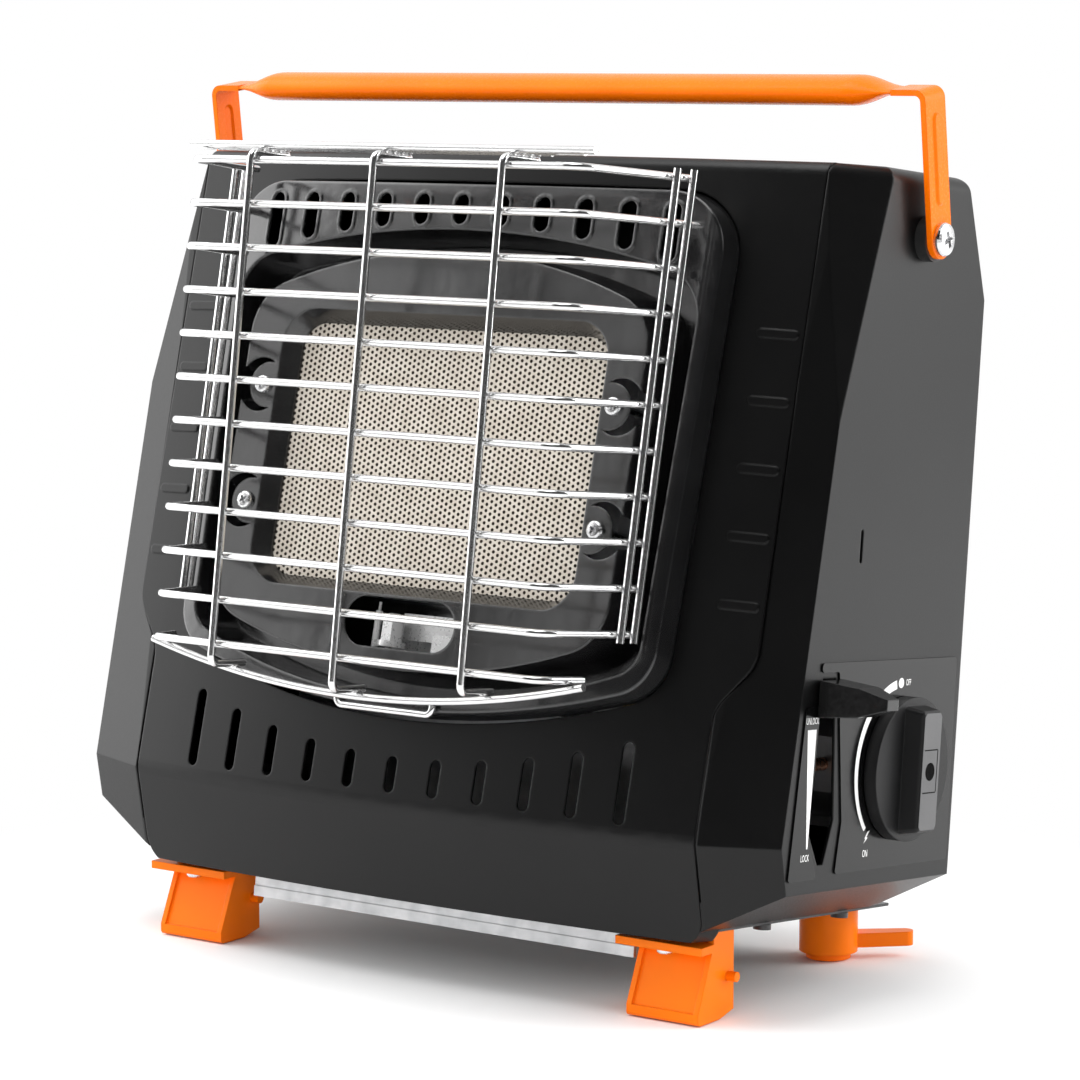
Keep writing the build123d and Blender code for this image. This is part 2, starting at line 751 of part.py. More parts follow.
def side_slit():
    """A short upright slit in the right cheek."""
    shape = Pos(SIDE_SLIT_Y, SIDE_SLIT_Z) * Rot(0, 0, 90) * SlotOverall(SIDE_SLIT_TALL, SIDE_SLIT_WIDTH)
    return side_prism(shape, 2 * CHEEK_WALL, 2 * CHEEK_WALL)


def make_rear_cover():
    shell = envelope(0) - envelope(SHEET)
    behind = PANEL_DEPTH + SEAM_GAP
    half = PANEL_HALF
    keep = face_box(-half, half, -OVERRUN, BODY_TOP + OVERRUN, behind, BACK_LIMIT)
    low = DOOR_TOP + DOOR_GAP
    keep = keep & span(-half, half, FRONT_LIMIT, BACK_LIMIT, low, BODY_TOP + OVERRUN)
    cover = shell & keep
    for row in range(LOUVRE_ROWS):
        for column in range(LOUVRE_COUNT):
            x = (column - (LOUVRE_COUNT - 1) / 2) * LOUVRE_PITCH_X
            z = LOUVRE_FIRST_Z + row * LOUVRE_PITCH_Z
            place = Plane.XZ.offset(-BODY_BACK) * Pos(x, z) * Rot(0, 0, 90)
            cover -= extrude(place * SlotOverall(LOUVRE_TALL, LOUVRE_WIDTH), 2 * SHEET, both=True)
    for side in (-1, 1):
        middle = side * HINGE_SPREAD
        cover += knuckle(middle - HINGE_KNUCKLE / 2, middle + HINGE_KNUCKLE / 2, low)
    return cover


def hinge_point():
    """The door hinge's axis as y and z."""
    return BODY_BACK + HINGE_OUT, DOOR_TOP + HINGE_RISE


def knuckle(x0, x1, root_z):
    """A curled hinge knuckle with a web to the sheet it is part of."""
    y, z = hinge_point()
    low, high = sorted((root_z, z))
    web = span(x0, x1, BODY_BACK - SHEET, y, low, high)
    tube = rod_x(HINGE_R, x0, x1, y, z) + web
    return tube - rod_x(HINGE_PIN_R + HINGE_FIT, x0, x1, y, z)


def door_profile(inset):
    """The door's bulged side profile on the y-z plane."""
    mid = (DOOR_TOP + DOOR_LOW) / 2
    top, low = (BODY_BACK, DOOR_TOP - inset), (BODY_BACK, DOOR_LOW + inset)
    return make_face([ThreePointArc(top, (BODY_BACK + DOOR_BULGE - inset, mid), low), Line(low, top)])


def door_form(inset):
    """The bulged door as a solid with every face but the front moved in by an inset."""
    half = DOOR_HALF - inset
    form = extrude(Plane.YZ.offset(-half) * door_profile(inset), 2 * half)
    ends = [e for e in form.edges().filter_by(GeomType.CIRCLE)]
    return fillet(ends, DOOR_ROUND - inset)


def make_rear_door():
    door = door_form(0) - door_form(SHEET)
    inner = HINGE_SPREAD - HINGE_KNUCKLE / 2 - HINGE_GAP
    y, z = hinge_point()
    low = DOOR_TOP - HINGE_R
    web = span(-inner, inner, BODY_BACK, y, low, z) - door_form(SHEET)
    barrel = rod_x(HINGE_R, -inner, inner, y, z) + web
    return door + barrel - rod_x(HINGE_PIN_R + HINGE_FIT, -inner, inner, y, z)


def make_hinge_pin():
    y, z = hinge_point()
    reach = HINGE_SPREAD + HINGE_KNUCKLE / 2
    return rod_x(HINGE_PIN_R, -reach, reach, y, z)


# Base and feet

def make_base_plate():
    plate = span(-BASE_HALF, BASE_HALF, BASE_FRONT_Y, BASE_BACK_Y, -BASE_SHEET, 0)
    plate += span(-RAIL_LEFT_X, RAIL_RIGHT_X, RAIL_Y, RAIL_Y + BASE_SHEET, -RAIL_TALL, 0)
    hem_top = RAIL_HEM_TALL - RAIL_TALL
    plate += span(-RAIL_LEFT_X, RAIL_RIGHT_X, RAIL_Y - RAIL_HEM_OUT, RAIL_Y, -RAIL_TALL, hem_top)
    for screw in case_screw_shanks(SCREW_SLACK):
        plate -= screw
    return plate


def foot_profile(setback):
    """A front foot's side on the y-z plane: a sloped front over an upright lip, and a raised heel."""
    points = [
        (FOOT_FRONT_Y, -FLOOR_DROP),
        (FOOT_HEEL_Y, -FLOOR_DROP),
        (FOOT_BACK_Y, FOOT_HEEL_RISE - FLOOR_DROP),
        (FOOT_BACK_Y, 0),
        (FOOT_TOP_Y + setback, 0),
        (FOOT_TOP_Y + setback, -FOOT_FLANGE_DROP),
        (FOOT_FRONT_Y + setback, FOOT_LIP - FLOOR_DROP),
        (FOOT_FRONT_Y, FOOT_LIP - FLOOR_DROP),
    ]
    return make_face(Polyline(*points[: len(points) if setback else -1], close=True))


def make_front_foot(middle):
    half = FOOT_WIDTH / 2
    inner = half - FOOT_CHEEK
    foot = extrude(Plane.YZ.offset(middle - half) * foot_profile(0), FOOT_WIDTH)
    front = foot.edges().filter_by(Axis.X).sort_by(Axis.Y)[:2]
    foot = fillet(front.sort_by(Axis.Z)[0], FOOT_LIP_ROUND)
    recess = extrude(Plane.YZ.offset(middle - inner) * foot_profile(0), 2 * inner)
    recess -= extrude(Plane.YZ.offset(middle - inner) * foot_profile(FOOT_RECESS), 2 * inner)
    top = -FOOT_FLANGE_DROP
    low = top - FOOT_FLANGE_THICK
    foot -= recess
    foot += span(middle - half, middle + half, FOOT_FLANGE_FRONT, FOOT_TOP_Y + FOOT_RECESS, low, top)
    foot += span(middle - half - FOOT_TAB, middle - half, FOOT_FLANGE_FRONT, FOOT_TAB_BACK_Y, low, top)
    peg_y, peg_z = FOOT_BACK_Y - 2 * FOOT_PEG_R, FOOT_PEG_RISE - FLOOR_DROP
    foot += rod_x(FOOT_PEG_R, middle + half, middle + half + FOOT_PEG, peg_y, peg_z)
    screw = rod_z(FOOT_SCREW_SHANK_R, middle + FOOT_SCREW_X, FOOT_SCREW_Y, low, top)
    return split(foot - screw, bisect_by=BASE_UNDER, keep=Keep.BOTTOM)


def make_foot_screws():
    low = -FOOT_FLANGE_DROP - FOOT_FLANGE_THICK
    screws = []
    for side in (-1, 1):
        x = side * FOOT_SPACING / 2 + FOOT_SCREW_X
        shank = rod_z(FOOT_SCREW_SHANK_R, x, FOOT_SCREW_Y, low, -FOOT_FLANGE_DROP)
        screws.append(shank + rod_z(FOOT_SCREW_R, x, FOOT_SCREW_Y, low - FOOT_SCREW_HEAD, low))
    return screws


def twist_top():
    """Level of a twist foot's top, just below the tilted base."""
    reach = TWIST_Y + TWIST_R
    return -BASE_SHEET * cos(radians(BODY_TILT)) - reach * tan(radians(BODY_TILT)) - TWIST_GAP


def make_twist_foot(side):
    x = side * TWIST_X
    foot = rod_z(TWIST_R, x, TWIST_Y, TWIST_PAD - FLOOR_DROP, twist_top())
    foot += rod_z(TWIST_PAD_R, x, TWIST_Y, -FLOOR_DROP, TWIST_PAD - FLOOR_DROP)
    angle = TWIST_ANGLE if side > 0 else 180 - TWIST_ANGLE
    reach = TWIST_LEVER - TWIST_LEVER_TIP_R
    arm = make_hull(
        [*Circle(TWIST_LEVER_WIDTH / 2).edges(), *(Pos(reach, 0) * Circle(TWIST_LEVER_TIP_R)).edges()]
    )
    level = TWIST_LEVER_LIFT - FLOOR_DROP
    foot += extrude(Pos(x, TWIST_Y, level) * Rot(0, 0, angle) * arm, TWIST_LEVER_THICK)
    bore_top = twist_top()
    return foot - rod_z(TWIST_STUD_R + SHAFT_FIT, x, TWIST_Y, bore_top - TWIST_BORE_DEPTH, bore_top)


def make_twist_studs():
    studs = []
    for side in (-1, 1):
        low = twist_top() - TWIST_BORE_DEPTH + TWIST_GAP
        stud = rod_z(TWIST_STUD_R, side * TWIST_X, TWIST_Y, low, 0)
        studs.append(split(stud, bisect_by=BASE_UNDER, keep=Keep.BOTTOM))
    return studs


# Reflector and burner

def face_loft(near, near_depth, far, far_depth):
    """A straight-sided loft between two outlines at two depths behind the front plane."""
    return loft([FACE.offset(-near_depth) * near, FACE.offset(-far_depth) * far], ruled=True)


def reflector_band():
    """The tray's bowed front band and the skirt round it, before its mouth is cut."""
    sheet = TRAY_SHEET
    tuck, crown = -TRAY_GAP, -TRAY_GAP - TRAY_SKIRT
    top = -TRAY_CROWN
    end = TRAY_TUCK + OPEN_TOP_HALF**2 / (2 * BOW_RADIUS)
    band = face_loft(opening_outline(crown), top, opening_outline(tuck), end) & bow(top)
    inner = face_loft(opening_outline(crown - sheet), top, opening_outline(tuck - sheet), end)
    return band - (inner & bow(top + sheet)) - bow(TRAY_TUCK)


def reflector_form():
    """The tray before its openings: the front band, and a drawn wall and floor behind its mouth."""
    sheet = TRAY_SHEET
    top, floor = -TRAY_CROWN, TRAY_FLOOR_DEPTH
    wall = face_loft(mouth_outline(sheet), top, floor_outline(sheet), floor + sheet)
    form = reflector_band() + (wall & bow(top))
    form -= face_loft(mouth_outline(0), top, floor_outline(0), floor)
    return fillet([e for e in form.edges() if on_crown(e)], TRAY_BEAD_ROUND)


def on_crown(edge):
    """Whether an edge lies on the front of the tray's bowed band."""
    spot = FACE.to_local_coords(edge.center())
    return abs(spot.Z - TRAY_CROWN + spot.X**2 / (2 * BOW_RADIUS)) < TRAY_GAP


def vent(index, grow):
    """One vent of the tray's band, standing on the arched mouth, moved out by an amount."""
    x = (index - (VENT_COUNT - 1) / 2) * VENT_PITCH
    low, high = mouth_arch(x) + VENT_CLEAR - grow, OPEN_TOP - VENT_BELOW_TOP + grow
    shape = Pos(x, (low + high) / 2) * Rot(0, 0, 90) * SlotOverall(high - low, VENT_WIDTH + 2 * grow)
    return face_prism(shape, -OVERRUN, TRAY_TUCK)


def make_reflector():
    tray = reflector_form()
    box_x, box_h = box_half()
    box_x, box_h = box_x + BOX_FLANGE_GAP, box_h + BOX_FLANGE_GAP
    through = TRAY_FLOOR_DEPTH + OVERRUN
    tray -= face_box(-box_x, box_x, BURNER_HEIGHT - box_h, BURNER_HEIGHT + box_h, 0, through)
    lips = bow(-TRAY_CROWN - VENT_LIP_RAISE) - bow(TRAY_SHEET - TRAY_CROWN)
    for index in range(VENT_COUNT):
        tray += vent(index, VENT_LIP) & lips
        tray -= vent(index, 0)
    for x, height in burner_spots():
        tray -= face_rod(SCREW_SHANK_R + SCREW_SLACK, x, height, 0, through)
    for side in (-1, 1):
        tray -= guard_tail(side, WIRE_R + SHAFT_FIT)
    return tray


def frame_outline(grow):
    """The burner frame's outline, arched above and below."""
    top_left, top_right = (-FRAME_HALF, FRAME_SHOULDER), (FRAME_HALF, FRAME_SHOULDER)
    low_left, low_right = (-FRAME_HALF, FRAME_LOW), (FRAME_HALF, FRAME_LOW)
    edges = [
        ThreePointArc(top_left, (0, FRAME_ARCH), top_right),
        Line(top_right, low_right),
        ThreePointArc(low_right, (0, FRAME_LOW_ARCH), low_left),
        Line(low_left, top_left),
    ]
    face = make_face(edges)
    return grown(fillet(face.vertices(), FRAME_ROUND), grow)


def burner_spots():
    """The four burner screws' places in the front plane."""
    return [(sx * SCREW_X, BURNER_HEIGHT + sy * SCREW_RISE) for sx in (-1, 1) for sy in (-1, 1)]


def view_outline(grow):
    """The burner frame's window, moved out or in."""
    width, height = PLATE_WIDTH - 2 * PLATE_LAP, PLATE_HEIGHT - 2 * PLATE_LAP
    return Pos(0, BURNER_HEIGHT) * RectangleRounded(width + 2 * grow, height + 2 * grow, PLATE_ROUND + grow)


def make_burner_frame():
    seat = TRAY_FLOOR_DEPTH - FRAME_SEAT
    top = -FRAME_CROWN
    lip = -PLATE_FRONT - PLATE_GAP
    outer = face_loft(frame_outline(-FRAME_DRAW), top, frame_outline(0), seat)
    frame = outer - face_loft(frame_outline(-FRAME_DRAW - SHEET), top + SHEET, frame_outline(-SHEET), seat)
    frame += face_loft(view_outline(FRAME_LIP + SHEET), top, view_outline(SHEET), lip)
    frame -= face_loft(view_outline(FRAME_LIP), top, view_outline(0), lip)
    frame -= face_prism(Pos(0, WINDOW_HEIGHT) * SlotOverall(WINDOW_LENGTH, WINDOW_WIDTH), -OVERRUN, seat)
    for x, height in burner_spots():
        side = 1 if x > 0 else -1
        moon = Pos(x + side * CRESCENT_SHIFT / 2, height) * Circle(CRESCENT_R)
        moon -= Pos(x - side * CRESCENT_SHIFT / 2, height) * Circle(CRESCENT_BOSS_R)
        frame -= face_prism(moon, -OVERRUN, 0)
        frame -= face_rod(SCREW_SHANK_R + SCREW_SLACK, x, height, -OVERRUN, seat)
    return frame


def make_ceramic_plate():
    half_x, half_h = PLATE_WIDTH / 2, PLATE_HEIGHT / 2
    far = PLATE_THICK - PLATE_FRONT
    return face_box(-half_x, half_x, BURNER_HEIGHT - half_h, BURNER_HEIGHT + half_h, -PLATE_FRONT, far)


def box_half():
    """Half the burner box's outer width and height."""
    around = BOX_SLACK + BOX_WALL
    return PLATE_WIDTH / 2 + around, PLATE_HEIGHT / 2 + around


def make_burner_box():
    half_x, half_h = box_half()
    low, high = BURNER_HEIGHT - half_h, BURNER_HEIGHT + half_h
    wall = BOX_WALL
    far = TRAY_FLOOR_DEPTH + BOX_DEPTH
    ledge = PLATE_THICK - PLATE_FRONT
    box = face_box(-half_x, half_x, low, high, 0, far)
    flange_x = half_x + BOX_FLANGE
    box += face_box(-flange_x, flange_x, low, high, TRAY_FLOOR_DEPTH - wall, TRAY_FLOOR_DEPTH)
    box -= face_box(wall - half_x, half_x - wall, low + wall, high - wall, 0, ledge)
    inset = wall + BOX_LEDGE
    box -= face_box(inset - half_x, half_x - inset, low + inset, high - inset, ledge, ledge + wall)
    box -= face_box(wall - half_x, half_x - wall, low + wall, high - wall, ledge + wall, far - wall)
    for x, height in burner_spots():
        box -= face_rod(SCREW_SHANK_R + SCREW_SLACK, x, height, 0, far)
    return box - face_stem(TUBE_R - TUBE_WALL, 0, TUBE_DEPTH, low - wall, low + 2 * wall)


def make_burner_screws():
    top = -FRAME_CROWN
    screws = []
    for x, height in burner_spots():
        head = face_rod(SCREW_HEAD_R, x, height, top - SCREW_HEAD_H, top)
        screws.append(head + face_rod(SCREW_SHANK_R, x, height, top, TRAY_FLOOR_DEPTH + TRAY_SHEET))
    return screws


def pilot_shelf():
    """Height of the pilot bracket's shelf in the front plane."""
    return WINDOW_HEIGHT - PILOT_SHELF_BELOW


def make_pilot_bracket():
    sheet = PILOT_SHEET
    shelf, back = pilot_shelf(), TRAY_FLOOR_DEPTH
    near, far = PILOT_PLATE_DEPTH, PILOT_PLATE_DEPTH + sheet
    low, high = WINDOW_HEIGHT - PILOT_PLATE_BELOW, WINDOW_HEIGHT + PILOT_PLATE_ABOVE
    left, right = PILOT_PLATE_LEFT, PILOT_PLATE_RIGHT
    bracket = face_box(-PILOT_SHELF_HALF, right, shelf - sheet, shelf, PILOT_SHELF_FRONT, back)
    rise = shelf + PILOT_BACK_RISE
    bracket += face_box(-PILOT_SHELF_HALF, right, shelf - sheet, rise, back - sheet, back)
    bracket += face_box(left, right, low, high, near, far)
    bracket += face_box(left, right, high - sheet, high, near, near + PILOT_LIP)
    slit = high - PILOT_SLIT_DROP
    bracket -= face_box(PILOT_SLIT_LEFT, PILOT_SLIT_RIGHT, slit - PILOT_SLIT_TALL, slit, near, far)
    tab_low, tab_high = WINDOW_HEIGHT - PILOT_TAB_BELOW, WINDOW_HEIGHT + PILOT_TAB_ABOVE
    tab_near = near - PILOT_TAB_OUT
    bracket += face_box(PILOT_TAB_LEFT, PILOT_TAB_RIGHT, tab_low, tab_high, tab_near, tab_near + sheet)
    bracket += face_box(PILOT_TAB_LEFT, PILOT_TAB_RIGHT, tab_high - sheet, tab_high, tab_near, far)
    return bracket + face_box(PILOT_TAB_LEFT, PILOT_TAB_RIGHT, shelf, low, near, far)


def make_pilot_burner():
    low = pilot_shelf()
    collar = low + PILOT_STEM_TALL
    body = collar + PILOT_COLLAR_TALL
    neck = body + PILOT_BODY_TALL
    burner = face_stem(PILOT_STEM_R, PILOT_BURNER_X, PILOT_DEPTH, low, collar)
    burner += face_stem(PILOT_COLLAR_R, PILOT_BURNER_X, PILOT_DEPTH, collar, body)
    place = Pos(PILOT_BURNER_X, body, -PILOT_DEPTH) * Rot(-90, 0, 0)
    hexagon = RegularPolygon(PILOT_BODY_R, PILOT_BODY_SIDES)
    burner += FACE * extrude(place * hexagon, PILOT_BODY_TALL)
    burner += face_stem(PILOT_NECK_R, PILOT_BURNER_X, PILOT_DEPTH, neck, neck + PILOT_NECK_TALL)
    tip = FACE.from_local_coords((PILOT_BURNER_X, neck + PILOT_NECK_TALL, -PILOT_DEPTH))
    rim = burner.edges().filter_by(GeomType.CIRCLE).sort_by_distance(tip)[0]
    return fillet(rim, PILOT_NECK_R / 2)


def make_spark_electrode():
    low = pilot_shelf()
    neck = low + ELECTRODE_TALL
    body = face_stem(ELECTRODE_R, ELECTRODE_X, PILOT_DEPTH, low, neck)
    return body + face_stem(ELECTRODE_TIP_R, ELECTRODE_X, PILOT_DEPTH, neck, neck + ELECTRODE_TIP_TALL)


def make_thermocouple():
    low = pilot_shelf()
    return face_stem(THERMO_R, THERMO_X, THERMO_DEPTH, low, low + THERMO_TALL)


# Gas path

def tube_axis():
    """The mixing tube's y and z in the body frame."""
    spot = FACE.from_local_coords((0, TUBE_HEIGHT, -TUBE_DEPTH))
    return spot.Y, spot.Z


def make_mixing_tube():
    top = BURNER_HEIGHT - box_half()[1]
    corners = [(0, top, -TUBE_DEPTH), (0, TUBE_HEIGHT, -TUBE_DEPTH), (TUBE_END_X, TUBE_HEIGHT, -TUBE_DEPTH)]
    points = [FACE.from_local_coords(corner) for corner in corners]
    path = FilletPolyline(*points, radius=TUBE_BEND)
    start = Plane(origin=path @ 0, z_dir=path % 0)
    ring = Circle(TUBE_R) - Circle(TUBE_R - TUBE_WALL)
    return sweep(start * ring, path=path)


def make_injector():
    y, z = tube_axis()
    collar = rod_x(INJECTOR_COLLAR_R, TUBE_END_X, TUBE_END_X + INJECTOR_COLLAR, y, z)
    start = TUBE_END_X + INJECTOR_COLLAR
    return collar + rod_x(INJECTOR_R, start, start + INJECTOR_LENGTH, y, z)


def make_gas_pipe():
    y, z = tube_axis()
    start = TUBE_END_X + INJECTOR_COLLAR + INJECTOR_LENGTH
    valve_front = KNOB_Y - VALVE_R + VALVE_FLAT
    valve_mid = SIDE - CHEEK_WALL - VALVE_GAP - VALVE_LENGTH / 2
    points = [(start, y, z), (valve_mid, y, z), (valve_mid, y, KNOB_Z), (valve_mid, valve_front, KNOB_Z)]
    path = FilletPolyline(*points, radius=PIPE_BEND)
    return sweep(Plane(origin=path @ 0, z_dir=path % 0) * Circle(PIPE_R), path=path)


def valve_span():
    """The valve body's left and right ends."""
    right = SIDE - CHEEK_WALL - VALVE_GAP
    return right - VALVE_LENGTH, right


def make_regulator():
    left, right = valve_span()
    body = rod_x(VALVE_R, left, right, KNOB_Y, KNOB_Z)
    arm_low, arm_high = CARTRIDGE_Z - ARM_LOW, CARTRIDGE_Z + ARM_HIGH
    body += span(left, left + ARM_DEPTH, KNOB_Y, CARTRIDGE_Y + SOCKET_R, arm_low, arm_high)
    body += rod_x(SOCKET_R, left - SOCKET_LENGTH, left, CARTRIDGE_Y, CARTRIDGE_Z)
    body -= rod_x(SOCKET_BORE_R, left - SOCKET_LENGTH, left + ARM_DEPTH / 2, CARTRIDGE_Y, CARTRIDGE_Z)
    flat = KNOB_Z + VALVE_R - VALVE_FLAT
    body -= span(left, right, KNOB_Y - VALVE_R, KNOB_Y + VALVE_R, flat, KNOB_Z + VALVE_R)
    seat = KNOB_Y - VALVE_R + VALVE_FLAT
    body -= span(left, right, KNOB_Y - VALVE_R, seat, KNOB_Z - VALVE_R, KNOB_Z + VALVE_R)
    return body - rod_x(SHAFT_R + SHAFT_FIT, right - SHAFT_IN_VALVE - SHAFT_FIT, right, KNOB_Y, KNOB_Z)


def make_igniter():
    left, right = valve_span()
    mid = (left + right) / 2
    low = KNOB_Z + VALVE_R - VALVE_FLAT
    half_x, half_y = IGNITER_LENGTH / 2, IGNITER_WIDTH / 2
    case = span(mid - half_x, mid + half_x, KNOB_Y - half_y, KNOB_Y + half_y, low, low + IGNITER_TALL)
    return fillet(case.edges().filter_by(Axis.X), IGNITER_ROUND)


def make_valve_shaft():
    right = valve_span()[1]
    out = SIDE + PLATE_SKIN + KNOB_GAP + SHAFT_IN_KNOB
    return rod_x(SHAFT_R, right - SHAFT_IN_VALVE, out, KNOB_Y, KNOB_Z)


def make_knob():
    near = SIDE + PLATE_SKIN + KNOB_GAP
    face = near + KNOB_DISC
    disc = rod_x(KNOB_R, near, face, KNOB_Y, KNOB_Z)
    place = Plane.YZ.offset(face) * Pos(KNOB_Y, KNOB_Z)
    foot = place * Rectangle(KNOB_BAR_WIDTH + 2 * KNOB_BAR_TAPER, KNOB_BAR_LENGTH + 2 * KNOB_BAR_TAPER)
    crown = Plane.YZ.offset(face + KNOB_BAR_HEIGHT) * Pos(KNOB_Y, KNOB_Z)
    crown = crown * Rectangle(KNOB_BAR_WIDTH, KNOB_BAR_LENGTH)
    bar = loft([foot, crown], ruled=True)
    edges = bar.edges().filter_by_position(Axis.X, face + KNOB_BAR_HEIGHT / 2, face + KNOB_BAR_HEIGHT)
    knob = disc + fillet(edges, KNOB_ROUND)
    return knob - rod_x(SHAFT_R + SHAFT_FIT, near, near + SHAFT_IN_KNOB, KNOB_Y, KNOB_Z)


def side_plate(points):
    """A thin plate with eased corners on the right cheek."""
    face = make_face(Polyline(*points, close=True))
    return side_prism(fillet(face.vertices(), PLATE_CORNER), 0, PLATE_SKIN)


def make_control_plate():
    return side_plate(CONTROL_OUTLINE) - rod_x(SHAFT_R + VALVE_GAP, SIDE, SIDE + PLATE_SKIN, KNOB_Y, KNOB_Z)


def make_lock_plate():
    return side_plate(LOCK_OUTLINE)


def make_lock_lever():
    top = GATE_TOP - LEVER_GAP
    low = top - LEVER_TALL
    front, back = GATE_FRONT + LEVER_GAP, GATE_BACK - LEVER_GAP
    inner = SIDE - CHEEK_WALL - LEVER_GAP
    outer = SIDE + PLATE_SKIN + LEVER_GAP
    stem = span(inner - LEVER_SHOE_DEPTH, outer, front, back, low, top)
    aside = LEVER_SHOE_ASIDE
    shoe = span(inner - LEVER_SHOE_DEPTH, inner, front - aside, back + aside, low, top)
    middle = Pos((front + back) / 2, (low + top) / 2)
    root = Plane.YZ.offset(outer) * middle * Rectangle(LEVER_ROOT_WIDTH, LEVER_TALL)
    waist = Plane.YZ.offset(outer + LEVER_REACH * LEVER_WAIST_SHARE) * middle
    waist = waist * Rectangle(LEVER_WAIST_WIDTH, LEVER_WAIST_TALL)
    tip = Plane.YZ.offset(outer + LEVER_REACH) * middle * Rectangle(LEVER_TIP_WIDTH, LEVER_TIP_TALL)
    return stem + shoe + loft([root, waist, tip], ruled=True)


# Cartridge compartment

def cartridge_nose():
    """Where the cartridge's collar ends, short of the regulator's socket."""
    return valve_span()[0] - SOCKET_LENGTH - CARTRIDGE_PUSH - CARTRIDGE_GAP


def make_cartridge():
    nose = cartridge_nose()
    start = nose - CARTRIDGE_LENGTH
    neck = nose - CARTRIDGE_COLLAR
    shoulder = neck - CARTRIDGE_SHOULDER
    points = [
        (start, 0),
        (start, CARTRIDGE_RIM_R),
        (start + CARTRIDGE_RIM, CARTRIDGE_RIM_R),
        (start + CARTRIDGE_RIM, CARTRIDGE_R),
        (shoulder, CARTRIDGE_R),
        (neck, CARTRIDGE_COLLAR_R),
        (nose, CARTRIDGE_COLLAR_R),
        (nose, CARTRIDGE_NOZZLE_R),
        (nose + CARTRIDGE_NOZZLE, CARTRIDGE_NOZZLE_R),
        (nose + CARTRIDGE_NOZZLE, 0),
    ]
    can = revolve(make_face(Polyline(*points, close=True)), Axis.X)
    can -= rod_x(CARTRIDGE_R - CARTRIDGE_WALL, start + CARTRIDGE_WALL, shoulder, 0, 0)
    can -= rod_x(CARTRIDGE_BORE_R, shoulder - CARTRIDGE_WALL, nose + CARTRIDGE_NOZZLE, 0, 0)
    return Pos(0, CARTRIDGE_Y, CARTRIDGE_Z) * can


def make_cradle():
    half_x, half_y = CRADLE_LENGTH / 2, CRADLE_WIDTH / 2
    block = span(-half_x, half_x, CARTRIDGE_Y - half_y, CARTRIDGE_Y + half_y, 0, CRADLE_TALL)
    return block - rod_x(CARTRIDGE_R + CRADLE_GAP, -BODY_WIDTH, BODY_WIDTH, CARTRIDGE_Y, CARTRIDGE_Z)


def make_heat_shield():
    shield = span(-SHIELD_HALF, SHIELD_HALF, SHIELD_Y, SHIELD_Y + SHEET, 0, SHIELD_TALL)
    return shield + span(-SHIELD_HALF, SHIELD_HALF, SHIELD_Y - SHIELD_FOOT, SHIELD_Y, 0, SHEET)


def make_tip_switch():
    half = TIP_SIZE / 2
    case = span(TIP_X - half, TIP_X + half, TIP_Y - half, TIP_Y + half, 0, TIP_TALL)
    return fillet(case.edges().filter_by(Axis.Z), TIP_ROUND)


def case_screw_shanks(slack):
    """The shanks that hold the cheeks' flanges down on the base."""
    spots = [(side * CASE_SCREW_X, y) for side in (-1, 1) for y in CASE_SCREW_YS]
    return [rod_z(CASE_SCREW_SHANK_R + slack, x, y, -BASE_SHEET, CHEEK_WALL) for x, y in spots]


def make_case_screws():
    screws = []
    for shank in case_screw_shanks(0):
        middle = shank.center()
        low = -BASE_SHEET - CASE_SCREW_HEAD
        screws.append(shank + rod_z(CASE_SCREW_R, middle.X, middle.Y, low, -BASE_SHEET))
    return screws


# Handle

def handle_frame():
    """The handle's own plane: origin on the pivot axis, x across and y up the leaning legs."""
    lean = radians(HANDLE_LEAN)
    return Plane(origin=(0, HANDLE_Y, HANDLE_Z), x_dir=(1, 0, 0), z_dir=(0, -cos(lean), -sin(lean)))


def handle_inner():
    """Distance of a leg's inner face from the middle."""
    return SIDE + HANDLE_STANDOFF


def handle_leg():
    """The right leg, bent over into the strap that runs to the grip."""
    inner, half, top = handle_inner(), handle_inner() + HANDLE_THICK, HANDLE_RISE
    wide = HANDLE_STRAP / 2
    leg = span(inner, half, 0, top, -wide, wide)
    leg += span(GRIP_HALF + GRIP_TAPER, half, top - HANDLE_THICK, top, -wide, wide)
    bends = leg.edges().filter_by(Axis.Z).sort_by_distance((half, top, 0))
    leg = fillet(bends[0], HANDLE_BEND)
    bends = leg.edges().filter_by(Axis.Z).sort_by_distance((inner, top - HANDLE_THICK, 0))
    leg = fillet(bends[0], HANDLE_BEND - HANDLE_THICK)
    leg += rod_x(wide, inner, half, 0, 0)
    leg += leg_rib(half)
    leg -= leg_rib(inner)
    return leg - rod_x(PIVOT_R + PIVOT_FIT, inner, half, 0, 0)


def leg_rib(x):
    """The long pressed rib of a leg, standing on the plane at x."""
    place = Pos((LEG_RIB_LOW + LEG_RIB_HIGH) / 2, 0)
    tall = LEG_RIB_HIGH - LEG_RIB_LOW
    foot = Plane.YZ.offset(x) * place * SlotOverall(tall, LEG_RIB_WIDTH)
    ease = 2 * LEG_RIB_RAISE
    crown = Plane.YZ.offset(x + LEG_RIB_RAISE) * place * SlotOverall(tall - ease, LEG_RIB_WIDTH - ease)
    return loft([foot, crown], ruled=True)


def grip_section(x, width, tall):
    """An oval section across the grip at x, about the strap's middle."""
    return Plane.YZ.offset(x) * Pos(HANDLE_RISE - HANDLE_THICK / 2, 0) * Ellipse(tall / 2, width / 2)


def grip_end():
    """The flare from the oval grip down to the flat strap."""
    sections = []
    for along, narrow in zip(GRIP_TAPER_SHARES, GRIP_NARROW_SHARES):
        width = GRIP_WIDTH + (HANDLE_STRAP - GRIP_WIDTH) * narrow
        tall = GRIP_TALL + (HANDLE_THICK - GRIP_TALL) * narrow
        sections.append(grip_section(GRIP_HALF + GRIP_TAPER * along, width, tall))
    return loft(sections)


